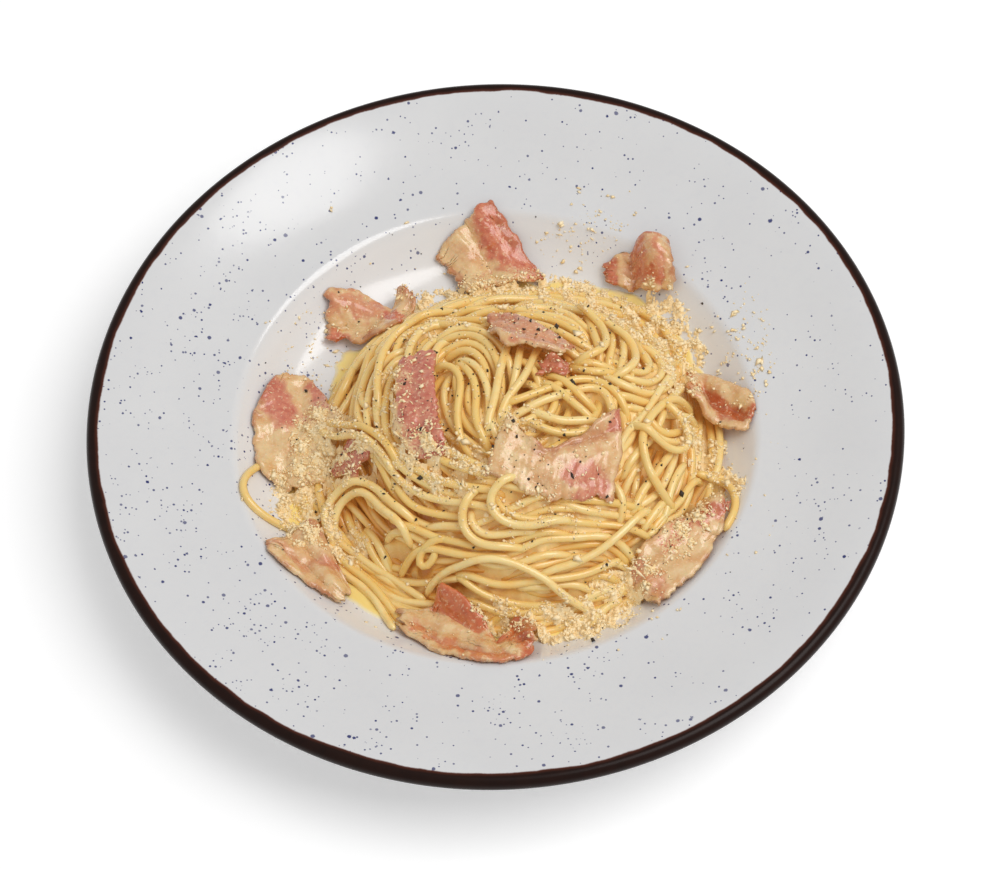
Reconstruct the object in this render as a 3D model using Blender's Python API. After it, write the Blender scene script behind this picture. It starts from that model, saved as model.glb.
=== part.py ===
"""Spaghetti carbonara on its wide-rimmed stoneware pasta plate.

The part stands on the plate's foot ring, with the origin at the centre of that ring on the table,
+Z up and -Y towards the diner. Lengths are written in millimetres and built in metres.
The plate is a turned profile. The spaghetti is one heap that fills the well, and each slice of
bacon is a thin ribbon that rests on the heap, the well's wall or both.
"""

import math

import bmesh
import bpy
from mathutils import Vector

MM = 0.001
GAP = 0.5  # clearance between the heap and the plate that it lies in

# Plate
PLATE_RADIUS = 135.0
PLATE_HEIGHT = 34.0
LIP_RADIUS = 2.8
FLOOR_TOP = 7.0
FLOOR_UNDER = 2.6
FLOOR_RADIUS = 66.0
WALL_SPANS = (16.0, 4.0, 3.0)  # run of the wall's lower bend, of its steepest part and of its shoulder
WALL_STEPS = (5, 1, 2)
SHOULDER_RADIUS = FLOOR_RADIUS + sum(WALL_SPANS)
SHOULDER_TOP = 20.9
RIM_SLOPE = 0.18  # slope of the rim where it leaves the shoulder
RIM_THICKNESS = 5.0
UNDER_RADIUS = 96.0  # where the wall's underside meets the rim's
FOOT_INNER = 58.0
FOOT_OUTER = 65.0
FOOT_EDGE = 0.6
FOOT_FLARE = 2.5  # run of the slopes on either side of the foot ring
PLATE_SEGMENTS = 60
UNDER_STEPS = 8
RIM_STEPS = 4
LIP_STEPS = 5

# Spaghetti heap
HEAP_CENTRE = (5.0, -2.0)
HEAP_HEIGHT = 39.0
DOME_RADIUS = 65.0
DOME_LOBES = ((3.0, 1, 0.0), (3.5, 1, 90.0), (2.5, 2, 51.0), (1.2, 3, -61.0))
DOME_SHAPE = (2.4, 0.75)
# Reach of the lowest strands from the heap's centre every 20 degrees, anticlockwise from +X
SKIRT_REACH = (75, 72, 73, 72, 68, 65, 66, 63, 64, 72, 79, 74, 74, 73, 77, 73, 74, 79)
SKIRT_EDGE = 1.4  # height of the lowest strands at their outer edge
SKIRT_HEIGHT = 3.0
SKIRT_SLOPE = 8.0  # width over which they rise from the one to the other
GROOVE_DEPTH = 1.6
GROOVE_PITCH = 13.0
GROOVE_TURNS = 2
HEAP_RINGS = 15
HEAP_UNDER_SHARES = (0.80, 0.84, 0.88, 0.92, 0.96, 1.0)
HEAP_SEGMENTS = 54

# Bacon
BACON_THICKNESS = 2.0
BACON_REST = 1.0  # least height over what a slice lies on
BACON_STEPS = (9, 6)  # points along and across a ribbon

# Each slice of bacon is a ribbon along its streaks. A station holds the points of its left edge,
# its middle and its right edge as (x, y, lift over what lies beneath); the ribbon is stiff between
# stations and rides up over whatever would poke through it.
BACON = {
    "bacon_back": (
        ((-19, 75, 1.0), (-9, 84, 2.0), (2, 92, 1.5)),
        ((-14, 69, 1.5), (-1, 74, 4.0), (11, 80, 3.5)),
        ((-9, 60, 2.0), (5, 60, 3.0), (21, 64, 1.5)),
    ),
    "bacon_back_right": (
        ((41, 61, 1.0), (40, 65, 1.5), (39, 68, 1.0)),
        ((49, 57, 1.0), (49, 63, 1.0), (48, 69, 1.0)),
        ((56, 53, 2.0), (56, 63, 7.0), (55, 71, 4.0)),
        ((65, 50, 1.0), (65, 58, 4.0), (63, 70, 1.5)),
    ),
    "bacon_left_back": (
        ((-57, 43, 1.0), (-58, 52, 2.0), (-58, 62, 1.0)),
        ((-46, 41, 2.5), (-46, 52, 3.0), (-45, 63, 1.5)),
        ((-34, 42, 3.0), (-36, 50, 3.0), (-36, 57, 1.5)),
        ((-27, 49, 1.5), (-30, 53, 2.5), (-33, 56, 2.5)),
        ((-25, 59, 6.0), (-28, 61, 8.0), (-31, 63, 7.0)),
    ),
    "bacon_left": (
        ((-74, 29, 1.0), (-68, 31, 1.5), (-62, 29, 1.0)),
        ((-81, 15, 1.5), (-69, 19, 4.0), (-56, 19, 2.0)),
        ((-82, 1, 1.5), (-67, 4, 4.0), (-51, 5, 1.5)),
        ((-79, -10, 1.0), (-68, -8, 3.0), (-53, -7, 1.5)),
        ((-71, -15, 1.0), (-65, -16, 1.5), (-58, -14, 1.0)),
    ),
    "bacon_crown": (
        ((0, 22, 2.0), (-1, 27, 2.0), (-1, 32, 1.0)),
        ((3, 14, 5.5), (6, 22, 4.0), (9, 30, 1.5)),
        ((14, 10, 6.0), (16, 17, 4.5), (18, 23, 1.5)),
        ((24, 9, 4.5), (26, 12, 3.5), (28, 14, 2.0)),
    ),
    "bacon_crown_under": (
        ((14, 3, 1.0), (14, 6, 1.0), (14, 10, 1.0)),
        ((25, 2, 1.0), (26, 5, 1.0), (26, 8, 1.0)),
    ),
    "bacon_top_left": (
        ((-31, 15, 3.0), (-25, 17, 3.0), (-18, 18, 1.0)),
        ((-33, 3, 3.5), (-26, 2, 4.5), (-18, 0, 2.0)),
        ((-33, -12, 2.5), (-25, -12, 4.0), (-17, -12, 3.0)),
        ((-27, -22, 1.5), (-21, -24, 2.5), (-15, -24, 2.0)),
    ),
    "bacon_top_front": (
        ((4, -11, 1.0), (17, -23, 2.5), (41, -9, 4.0)),
        ((0, -20, 2.0), (16, -30, 3.0), (41, -22, 3.0)),
        ((-5, -32, 2.5), (14, -41, 2.0), (38, -40, 1.5)),
    ),
    "bacon_right": (
        ((64, 8, 2.0), (65, 14, 2.5), (66, 21, 1.5)),
        ((69, 1, 3.5), (73, 10, 4.0), (77, 18, 2.0)),
        ((77, -4, 2.0), (82, 2, 2.5), (86, 9, 1.0)),
        ((84, -6, 1.0), (86, -3, 1.0), (88, 1, 1.0)),
    ),
    "bacon_right_front": (
        ((76, -33, 1.0), (73, -30, 4.0), (70, -28, 2.0)),
        ((72, -45, 1.0), (67, -40, 6.5), (62, -36, 3.0)),
        ((64, -58, 1.0), (57, -51, 7.0), (51, -44, 3.0)),
        ((54, -66, 1.0), (48, -60, 5.5), (42, -54, 2.0)),
        ((50, -70, 1.0), (47, -66, 2.0), (44, -62, 1.0)),
    ),
    "bacon_front": (
        ((-36, -68, 1.0), (-35, -66, 1.5), (-35, -63, 1.0)),
        ((-27, -78, 1.0), (-25, -70, 2.0), (-23, -62, 1.0)),
        ((-18, -84, 1.0), (-18, -73, 3.0), (-19, -58, 5.0)),
        ((-9, -87, 1.0), (-9, -79, 4.0), (-8, -67, 7.0)),
        ((-2, -88, 1.0), (-2, -83, 2.5), (-3, -77, 2.0)),
        ((4, -87, 1.0), (4, -78, 4.0), (3, -68, 3.0)),
        ((9, -83, 1.0), (10, -77, 4.0), (9, -71, 2.0)),
    ),
    "bacon_left_front": (
        ((-77, -43, 1.0), (-77, -41, 1.0), (-76, -40, 1.0)),
        ((-71, -49, 1.0), (-70, -42, 3.5), (-69, -34, 1.0)),
        ((-64, -55, 1.5), (-63, -42, 2.0), (-61, -28, 4.0)),
        ((-57, -59, 1.0), (-57, -50, 5.0), (-56, -41, 2.0)),
        ((-52, -61, 1.0), (-51, -58, 2.0), (-49, -55, 1.0)),
    ),
    "bacon_left_tucked": (
        ((-56, -12, 1.0), (-52, -8, 1.5), (-48, -5, 1.0)),
        ((-52, -17, 1.0), (-48, -12, 2.0), (-44, -6, 1.0)),
        ((-46, -22, 1.0), (-43, -18, 1.5), (-40, -12, 1.0)),
    ),
}

PLATE_COLOUR = (0.80, 0.81, 0.82)
SPAGHETTI_COLOUR = (0.86, 0.68, 0.34)
BACON_COLOUR = (0.66, 0.30, 0.22)


def ease(t):
    """0 to 1 with no slope or bend at either end."""
    t = min(max(t, 0.0), 1.0)
    return t * t * t * (t * (6 * t - 15) + 10)


def wall_height(away):
    """Rise of the well's wall: it steepens, holds its steepest slope, then rounds over the shoulder."""
    bend, hold, shoulder = WALL_SPANS
    steep = (SHOULDER_TOP - FLOOR_TOP - RIM_SLOPE * shoulder / 2) / (bend / 2 + hold + shoulder / 2)
    rising = min(max(away, 0.0), bend)
    held = min(max(away - bend, 0.0), hold)
    over = min(max(away - bend - hold, 0.0), shoulder)
    return steep * (rising**2 / (2 * bend) + held + over) - (steep - RIM_SLOPE) * over**2 / (2 * shoulder)


def plate_top(radius):
    """Height of the plate's upper surface: flat floor, curved wall, then a rim that steepens outwards."""
    lip_centre = PLATE_RADIUS - LIP_RADIUS
    t = min(max((radius - SHOULDER_RADIUS) / (lip_centre - SHOULDER_RADIUS), 0.0), 1.0)
    rim = (PLATE_HEIGHT - SHOULDER_TOP) * (0.6 * t + 0.6 * t**2.2 - 0.2 * t**5)
    return FLOOR_TOP + wall_height(radius - FLOOR_RADIUS) + rim


def plate_under(radius):
    """Height of the plate's underside between the foot ring and the lip."""
    if radius < UNDER_RADIUS:
        share = ease((radius - FOOT_OUTER) / (UNDER_RADIUS - FOOT_OUTER))
        return FLOOR_UNDER + (plate_top(UNDER_RADIUS) - RIM_THICKNESS - FLOOR_UNDER) * share
    return plate_top(radius) - RIM_THICKNESS


def steps(start, end, count):
    """count + 1 evenly spaced values from start to end."""
    return [start + (end - start) * k / count for k in range(count + 1)]


def plate_profile():
    """Half section of the plate, from the underside's middle round the lip to the floor's middle."""
    foot = [
        (0.0, FLOOR_UNDER),
        (FOOT_INNER - FOOT_FLARE, FLOOR_UNDER),
        (FOOT_INNER, FOOT_EDGE),
        (FOOT_INNER + FOOT_EDGE, 0.0),
        (FOOT_OUTER - FOOT_EDGE, 0.0),
        (FOOT_OUTER, FOOT_EDGE),
    ]
    lip_centre = PLATE_RADIUS - LIP_RADIUS
    under_radii = steps(FOOT_OUTER + FOOT_FLARE, UNDER_RADIUS, UNDER_STEPS)
    under_radii += steps(UNDER_RADIUS, lip_centre, RIM_STEPS)[1:-1]
    under = [(r, plate_under(r)) for r in under_radii]
    lip = [
        (lip_centre + LIP_RADIUS * math.cos(a), PLATE_HEIGHT - LIP_RADIUS + LIP_RADIUS * math.sin(a))
        for a in steps(math.radians(-60), math.radians(90), LIP_STEPS)
    ]
    top_radii = steps(lip_centre, SHOULDER_RADIUS, RIM_STEPS)[1:]
    for span, count in zip(reversed(WALL_SPANS), reversed(WALL_STEPS)):
        top_radii += steps(top_radii[-1], top_radii[-1] - span, count)[1:]
    top = [(r, plate_top(r)) for r in top_radii]
    return foot + under + lip + top + [(0.0, FLOOR_TOP)]


def along(points, t):
    """Point at 0 <= t <= 1 on the smooth curve through evenly spaced points."""
    last = len(points) - 1
    k = min(int(t * last), last - 1)
    s = t * last - k
    p0, p1 = points[max(k - 1, 0)], points[k]
    p2, p3 = points[k + 1], points[min(k + 2, last)]
    return 0.5 * (
        2 * p1 + (p2 - p0) * s + (2 * p0 - 5 * p1 + 4 * p2 - p3) * s**2 + (3 * p1 - p0 - 3 * p2 + p3) * s**3
    )


def from_heap_centre(x, y):
    """Angle about the heap's centre, and distance from it."""
    dx, dy = x - HEAP_CENTRE[0], y - HEAP_CENTRE[1]
    return math.atan2(dy, dx), math.hypot(dx, dy)


def dome_radius(angle):
    """Foot of the dome: a round of DOME_RADIUS with a few lobes."""
    return DOME_RADIUS + sum(
        size * math.cos(turns * angle + math.radians(phase)) for size, turns, phase in DOME_LOBES
    )


def skirt_radius(angle):
    """Uneven outline of the lowest strands."""
    turn = angle / (2 * math.pi) % 1.0
    ring = SKIRT_REACH[-1:] + SKIRT_REACH + SKIRT_REACH[:2]
    return along(ring, (1 + turn * len(SKIRT_REACH)) / (len(ring) - 1))


def heap_dome(x, y):
    """Height of the smooth dome that the heap's highest strands reach."""
    angle, reach = from_heap_centre(x, y)
    power, root = DOME_SHAPE
    return FLOOR_TOP + HEAP_HEIGHT * (1 - min(reach / dome_radius(angle), 1.0) ** power) ** root


def heap_skirt(x, y):
    """Height of the lowest strands, which follow the plate out to the uneven outline."""
    angle, reach = from_heap_centre(x, y)
    rise = min(max((skirt_radius(angle) - reach) / SKIRT_SLOPE, 0.0), 1.0)
    return plate_top(math.hypot(x, y)) + SKIRT_EDGE + (SKIRT_HEIGHT - SKIRT_EDGE) * rise


def heap_top(x, y):
    """The heap's surface: dome over skirt, with spiral grooves between the bundles of strands."""
    angle, reach = from_heap_centre(x, y)
    spiral = 2 * math.pi * reach / GROOVE_PITCH - GROOVE_TURNS * angle
    groove = GROOVE_DEPTH * (0.5 - 0.5 * math.cos(spiral)) * min(1.0, reach / GROOVE_PITCH)
    return max(heap_dome(x, y) - groove, heap_skirt(x, y))


def beneath(x, y):
    """Height of what a slice of bacon lies on at a point."""
    angle, reach = from_heap_centre(x, y)
    if reach > skirt_radius(angle) + BACON_REST:
        return plate_top(math.hypot(x, y))
    return max(heap_dome(x, y), heap_skirt(x, y))


def bacon_sheet(stations):
    """Grid of points on the underside of a slice."""
    raised = [
        [Vector((x, y, beneath(x, y) + lift)) for x, y, lift in station] for station in stations
    ]
    rows = []
    for u in steps(0.0, 1.0, BACON_STEPS[0] - 1):
        across = [along([station[side] for station in raised], u) for side in range(3)]
        row = []
        for v in steps(0.0, 1.0, BACON_STEPS[1] - 1):
            point = along(across, v)
            point.z = max(point.z, beneath(point.x, point.y) + BACON_REST)
            row.append(point)
        rows.append(row)
    return rows


def material(name, colour, roughness):
    made = bpy.data.materials.new(name)
    made.use_nodes = True
    shader = made.node_tree.nodes["Principled BSDF"]
    shader.inputs["Base Color"].default_value = (*colour, 1.0)
    shader.inputs["Roughness"].default_value = roughness
    shader.inputs["Metallic"].default_value = 0.0
    return made


def add_object(name, bm, finish):
    """Turns a bmesh in millimetres into a smooth-shaded object in metres."""
    bmesh.ops.scale(bm, vec=Vector((MM, MM, MM)), verts=bm.verts)
    bmesh.ops.recalc_face_normals(bm, faces=bm.faces)
    mesh = bpy.data.meshes.new(name)
    bm.to_mesh(mesh)
    bm.free()
    mesh.shade_smooth()
    mesh.set_sharp_from_angle(angle=math.radians(40))
    mesh.materials.append(finish)
    made = bpy.data.objects.new(name, mesh)
    bpy.context.scene.collection.objects.link(made)
    return made


def build_plate(finish):
    """Spins the half section about Z."""
    bm = bmesh.new()
    corners = [bm.verts.new((r, 0.0, z)) for r, z in plate_profile()]
    edges = [bm.edges.new(pair) for pair in zip(corners, corners[1:])]
    bmesh.ops.spin(
        bm,
        geom=corners + edges,
        cent=(0, 0, 0),
        axis=(0, 0, 1),
        angle=2 * math.pi,
        steps=PLATE_SEGMENTS,
    )
    bmesh.ops.remove_doubles(bm, verts=bm.verts, dist=1e-3)
    return add_object("plate", bm, finish)


def heap_ring(bm, share, height):
    """One ring of the heap's surface at a share of its outline, with height(x, y) for its Z."""
    ring = []
    for k in range(HEAP_SEGMENTS):
        angle = 2 * math.pi * k / HEAP_SEGMENTS
        reach = share * skirt_radius(angle)
        x = HEAP_CENTRE[0] + reach * math.cos(angle)
        y = HEAP_CENTRE[1] + reach * math.sin(angle)
        ring.append(bm.verts.new((x, y, height(x, y))))
    return ring


def build_heap(finish):
    """Closes the heap's top over an underside that follows the plate's floor."""
    bm = bmesh.new()

    def under(x, y):
        return plate_top(math.hypot(x, y)) + GAP

    rings = [heap_ring(bm, math.sqrt(s), heap_top) for s in steps(1.0, 0.0, HEAP_RINGS)[:-1]]
    rings = [heap_ring(bm, share, under) for share in HEAP_UNDER_SHARES] + rings
    for outer, inner in zip(rings, rings[1:]):
        for k in range(HEAP_SEGMENTS):
            following = (k + 1) % HEAP_SEGMENTS
            bm.faces.new((outer[k], outer[following], inner[following], inner[k]))
    for ring, height in ((rings[0], under), (rings[-1], heap_top)):
        pole = bm.verts.new((*HEAP_CENTRE, height(*HEAP_CENTRE)))
        for k in range(HEAP_SEGMENTS):
            bm.faces.new((ring[k], ring[(k + 1) % HEAP_SEGMENTS], pole))
    return add_object("spaghetti", bm, finish)


def build_bacon(name, stations, finish):
    """Thickens a slice's sheet upwards into a closed ribbon."""
    bm = bmesh.new()
    rows = bacon_sheet(stations)
    lower = [[bm.verts.new(point) for point in row] for row in rows]
    upper = [
        [bm.verts.new(point + Vector((0, 0, BACON_THICKNESS))) for point in row] for row in rows
    ]
    for sheet in (lower, upper):
        for row, following in zip(sheet, sheet[1:]):
            for k in range(len(row) - 1):
                bm.faces.new((row[k], row[k + 1], following[k + 1], following[k]))

    def rim(sheet):
        return (
            sheet[0]
            + [row[-1] for row in sheet[1:]]
            + sheet[-1][-2::-1]
            + [row[0] for row in sheet[-2:0:-1]]
        )

    low, high = rim(lower), rim(upper)
    for k in range(len(low)):
        following = (k + 1) % len(low)
        bm.faces.new((low[k], low[following], high[following], high[k]))
    return add_object(name, bm, finish)


def main():
    for old in list(bpy.data.objects):
        bpy.data.objects.remove(old)
    build_plate(material("glazed_stoneware", PLATE_COLOUR, 0.18))
    build_heap(material("spaghetti", SPAGHETTI_COLOUR, 0.35))
    bacon = material("bacon", BACON_COLOUR, 0.35)
    for name, stations in BACON.items():
        build_bacon(name, stations, bacon)


main()
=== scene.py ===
"""Looks of the spaghetti carbonara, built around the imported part.

Lengths are in millimetres up to add_piece(), which writes metres. The origin is the middle of the
plate's foot ring, +Z is up and -Y is towards the diner. Strands are laid one by one on a grid of
heights, each one resting on what is already there. Bacon, cheese and pepper follow the same way.
"""

import math

import bpy
import numpy as np
from mathutils import Matrix, Vector


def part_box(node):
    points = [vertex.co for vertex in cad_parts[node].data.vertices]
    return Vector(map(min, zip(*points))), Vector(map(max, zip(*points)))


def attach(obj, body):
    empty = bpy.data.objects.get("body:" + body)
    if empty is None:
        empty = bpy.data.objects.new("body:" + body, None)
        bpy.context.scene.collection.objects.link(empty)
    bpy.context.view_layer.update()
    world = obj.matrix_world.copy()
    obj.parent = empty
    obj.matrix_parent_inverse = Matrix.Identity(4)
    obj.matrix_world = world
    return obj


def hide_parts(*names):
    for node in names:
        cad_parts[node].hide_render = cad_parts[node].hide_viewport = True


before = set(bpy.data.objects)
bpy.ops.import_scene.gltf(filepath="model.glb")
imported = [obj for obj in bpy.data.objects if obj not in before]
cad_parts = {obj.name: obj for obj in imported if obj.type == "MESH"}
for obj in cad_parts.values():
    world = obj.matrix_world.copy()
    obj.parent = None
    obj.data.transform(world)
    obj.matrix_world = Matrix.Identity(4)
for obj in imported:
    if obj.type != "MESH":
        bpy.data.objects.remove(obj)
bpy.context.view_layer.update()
MM = 0.001
TURN = 2 * math.pi
ANY_ANGLE = (0, 6.3)  # range of a random direction or phase
rng = np.random.default_rng(20)

# ---------------------------------------------------------------- plate and heap, as in the CAD
PLATE_BOX = [np.array(corner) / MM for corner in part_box("plate")]
PLATE_RADIUS = PLATE_BOX[1][0]
PLATE_HEIGHT = PLATE_BOX[1][2]
LIP_RADIUS = 2.8
LIP_CENTRE = PLATE_RADIUS - LIP_RADIUS
FLOOR_TOP = 7.0
FLOOR_UNDER = 2.6
FLOOR_RADIUS = 66.0
WALL_SPANS = (16.0, 4.0, 3.0)
SHOULDER_RADIUS = FLOOR_RADIUS + sum(WALL_SPANS)
SHOULDER_TOP = 20.9
RIM_SLOPE = 0.18
RIM_THICKNESS = 5.0
FOOT_INNER = 58.0
FOOT_OUTER = 65.0
UNDER_RADIUS = 96.0

HEAP_CENTRE = (5.0, -2.0)
HEAP_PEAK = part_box("spaghetti")[1][2] / MM
DOME_RADIUS = 65.0
DOME_LOBES = ((3.0, 1, 0.0), (3.5, 1, 90.0), (2.5, 2, 51.0), (1.2, 3, -61.0))
DOME_SHAPE = (2.4, 0.75)
SKIRT_REACH = (75, 72, 73, 72, 68, 65, 66, 63, 64, 72, 79, 74, 74, 73, 77, 73, 74, 79)
SKIRT_HEIGHT = 3.0


def smoothstep(low, high, value):
    t = np.clip((value - low) / (high - low), 0.0, 1.0)
    return t * t * (3 - 2 * t)


def ease(t):
    t = np.clip(t, 0.0, 1.0)
    return t**3 * (t * (6 * t - 15) + 10)


def wall_height(away):
    """Rise of the well's wall: it steepens, holds its slope, then rounds over the shoulder."""
    bend, hold, shoulder = WALL_SPANS
    steep = (SHOULDER_TOP - FLOOR_TOP - RIM_SLOPE * shoulder / 2) / (bend / 2 + hold + shoulder / 2)
    rising = np.clip(away, 0, bend)
    held = np.clip(away - bend, 0, hold)
    over = np.clip(away - bend - hold, 0, shoulder)
    flattening = (steep - RIM_SLOPE) * over**2 / (2 * shoulder)
    return steep * (rising**2 / (2 * bend) + held + over) - flattening


def plate_top(radius):
    """Height of the plate's upper surface."""
    t = np.clip((radius - SHOULDER_RADIUS) / (LIP_CENTRE - SHOULDER_RADIUS), 0.0, 1.0)
    rim = (PLATE_HEIGHT - SHOULDER_TOP) * (0.6 * t + 0.6 * t**2.2 - 0.2 * t**5)
    return FLOOR_TOP + wall_height(radius - FLOOR_RADIUS) + rim


def plate_under(radius):
    """Height of the underside between the foot ring and the lip."""
    share = ease((radius - FOOT_OUTER) / (UNDER_RADIUS - FOOT_OUTER))
    wall = FLOOR_UNDER + (plate_top(UNDER_RADIUS) - RIM_THICKNESS - FLOOR_UNDER) * share
    return np.where(radius < UNDER_RADIUS, wall, plate_top(radius) - RIM_THICKNESS)


def from_heap_centre(x, y):
    dx, dy = x - HEAP_CENTRE[0], y - HEAP_CENTRE[1]
    return np.arctan2(dy, dx), np.hypot(dx, dy)


def dome_radius(angle):
    """Foot of the heap's dome, a round with a few lobes."""
    lobes = (size * np.cos(turns * angle + math.radians(phase)) for size, turns, phase in DOME_LOBES)
    return DOME_RADIUS + sum(lobes)


def skirt_radius(angle):
    """Uneven outline of the lowest strands."""
    marks = np.linspace(0, TURN, len(SKIRT_REACH) + 1)
    return np.interp(angle % TURN, marks, SKIRT_REACH + SKIRT_REACH[:1])


def heap_dome(x, y, shrink=0.0, lower=0.0):
    """Height of the smooth dome that the highest strands reach, or of a smaller one inside it."""
    angle, reach = from_heap_centre(x, y)
    power, root = DOME_SHAPE
    share = np.minimum(reach / (dome_radius(angle) - shrink), 1.0)
    return FLOOR_TOP + (HEAP_PEAK - FLOOR_TOP - lower) * (1 - share**power) ** root


def beneath(x, y):
    """What the CAD's slices lie on: the plate, or the smooth heap."""
    angle, reach = from_heap_centre(x, y)
    plate = plate_top(np.hypot(x, y))
    heap_level = np.maximum(heap_dome(x, y), plate + SKIRT_HEIGHT)
    return np.where(reach > skirt_radius(angle) + 1.0, plate, heap_level)


# ---------------------------------------------------------------- grid of heights
GRID_HALF = 100.0
GRID_STEP = 0.5
GRID_LINE = np.arange(-GRID_HALF, GRID_HALF + GRID_STEP / 2, GRID_STEP)
GRID_X, GRID_Y = np.meshgrid(GRID_LINE, GRID_LINE, indexing="ij")
LAST_CELL = len(GRID_LINE) - 1.001  # just short of the grid's last post
PLATE_GRID = plate_top(np.hypot(GRID_X, GRID_Y))
FAR = 1e3  # further away than anything here
SOFT_EDGE = (0.55, 1.25)  # where a patch starts to fade and has faded, as shares of its ellipse


def grid_place(value):
    """Where a coordinate falls on the grid, counted in posts."""
    return (value + GRID_HALF) / GRID_STEP


def sample(grid, x, y):
    """Height of a grid at points, with straight blending between its posts."""
    u, v = np.clip(grid_place(x), 0, LAST_CELL), np.clip(grid_place(y), 0, LAST_CELL)
    i, j = u.astype(int), v.astype(int)
    a, b = u - i, v - j
    near = grid[i, j] * (1 - b) + grid[i, j + 1] * b
    far = grid[i + 1, j] * (1 - b) + grid[i + 1, j + 1] * b
    return near * (1 - a) + far * a


def stamp(grid, points, radius):
    """Raises a grid to a ball of that radius about each point."""
    span = int(math.ceil(radius / GRID_STEP))
    for x, y, z in points:
        i, j = int(round(grid_place(x))), int(round(grid_place(y)))
        window = slice(max(i - span, 0), i + span + 1), slice(max(j - span, 0), j + span + 1)
        under_root = radius**2 - (GRID_X[window] - x) ** 2 - (GRID_Y[window] - y) ** 2
        ball = np.where(under_root > 0, z + np.sqrt(np.maximum(under_root, 0)), -FAR)
        grid[window] = np.maximum(grid[window], ball)


def blur(grid, width):
    """Gaussian blur over a width in millimetres."""
    spin = np.fft.fftfreq(len(GRID_LINE), GRID_STEP)
    keep = np.exp(-2 * (math.pi * width) ** 2 * (spin[:, None] ** 2 + spin[None, :] ** 2))
    return np.real(np.fft.ifft2(np.fft.fft2(grid) * keep))


def waves(x, y, size, seed, count=14):
    """Smooth random field of unit height whose swells are about a size across."""
    own = np.random.default_rng(seed)
    total = np.zeros(np.shape(x))
    for _ in range(count):
        angle, phase = own.uniform(0, TURN, 2)
        pitch = TURN / (size * own.uniform(0.7, 1.5))
        total += np.cos(pitch * (x * math.cos(angle) + y * math.sin(angle)) + phase)
    return total / math.sqrt(count / 2)


def ellipse_reach(x, y, cx, cy, rx, ry, turn):
    """Distance of places from a turned ellipse's centre: 1 on its outline."""
    c, s = math.cos(math.radians(turn)), math.sin(math.radians(turn))
    dx, dy = x - cx, y - cy
    return np.hypot((dx * c + dy * s) / rx, (dy * c - dx * s) / ry)


def patches(table, x, y):
    """Amount at places over a table of soft-edged ellipses."""
    total = np.zeros(np.shape(x))
    for *ellipse, amount in table:
        fading = smoothstep(*SOFT_EDGE, ellipse_reach(x, y, *ellipse))
        total = np.maximum(total, amount * (1 - fading))
    return total


# ---------------------------------------------------------------- curves and meshes
def catmull_rom(p0, p1, p2, p3, t):
    """Smooth curve from p1 to p2 at shares t of the way."""
    square = (2 * p0 - 5 * p1 + 4 * p2 - p3) * t**2
    cube = (3 * p1 - p0 - 3 * p2 + p3) * t**3
    return 0.5 * (2 * p1 + (p2 - p0) * t + square + cube)


def with_ends(points):
    """The points and one more beyond each end, straight on."""
    return np.concatenate([2 * points[:1] - points[1:2], points, 2 * points[-1:] - points[-2:-1]])


def smooth_curve(knots, steps=24):
    """Smooth curve through knots, with that many points from each to the next."""
    knots = np.asarray(knots, float)
    ends = with_ends(knots)
    t = np.linspace(0, 1, steps, endpoint=False)[:, None]
    pieces = [catmull_rom(*four, t) for four in zip(ends, ends[1:], ends[2:], ends[3:])]
    return np.vstack(pieces + [knots[-1:]])


def across_spline(points, t):
    """Smooth curve through the first axis of an array of points, at many places t from 0 to 1."""
    count = len(points)
    place = np.clip(t, 0, 1) * (count - 1)
    i = np.minimum(place.astype(int), count - 2)
    rest = () if points.ndim == 2 else tuple(np.indices(t.shape))
    ends = with_ends(points)
    return catmull_rom(*(ends[(i + k, *rest)] for k in range(4)), (place - i)[..., None])


def respaced(points, step):
    """The same polyline with points at even steps."""
    lengths = np.hypot(*np.diff(points[:, :2], axis=0).T)
    travelled = np.concatenate([[0], np.cumsum(lengths)])
    marks = np.linspace(0, travelled[-1], max(int(travelled[-1] / step), 2) + 1)
    return np.stack([np.interp(marks, travelled, column) for column in points.T], axis=1)


def smoothed(values, rounds):
    """Neighbour averaging along a line whose ends stay put."""
    values = values.copy()
    for _ in range(rounds):
        values[1:-1] = 0.5 * values[1:-1] + 0.25 * (values[:-2] + values[2:])
    return values


def soften(values):
    """Neighbour averaging over a grid with its border kept."""
    padded = np.pad(values, 1, mode="edge")
    beside = padded[:-2, 1:-1] + padded[2:, 1:-1] + padded[1:-1, :-2] + padded[1:-1, 2:]
    return (beside + 4 * values) / 8


def sideways(points):
    """Level unit vectors across a line."""
    along = np.gradient(points[:, :2], axis=0)
    along /= np.maximum(np.linalg.norm(along, axis=1, keepdims=True), 1e-9)
    return np.stack([-along[:, 1], along[:, 0]], axis=1)


def from_stroke(x, y, points):
    """Distance of places from a polyline."""
    nearest = np.full(np.shape(x), FAR)
    for (x0, y0), (x1, y1) in zip(points, points[1:]):
        length = (x1 - x0) ** 2 + (y1 - y0) ** 2
        t = np.clip(((x - x0) * (x1 - x0) + (y - y0) * (y1 - y0)) / length, 0, 1)
        nearest = np.minimum(nearest, np.hypot(x - x0 - t * (x1 - x0), y - y0 - t * (y1 - y0)))
    return nearest


def quads(rows, columns, wrap=False):
    """Faces of a grid of rows by columns, closed round its columns if wrap is set."""
    i, j = np.indices((rows - 1, columns if wrap else columns - 1)).reshape(2, -1)
    near, far, following = i * columns, (i + 1) * columns, (j + 1) % columns
    return np.stack([near + j, near + following, far + following, far + j], axis=1)


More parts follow.
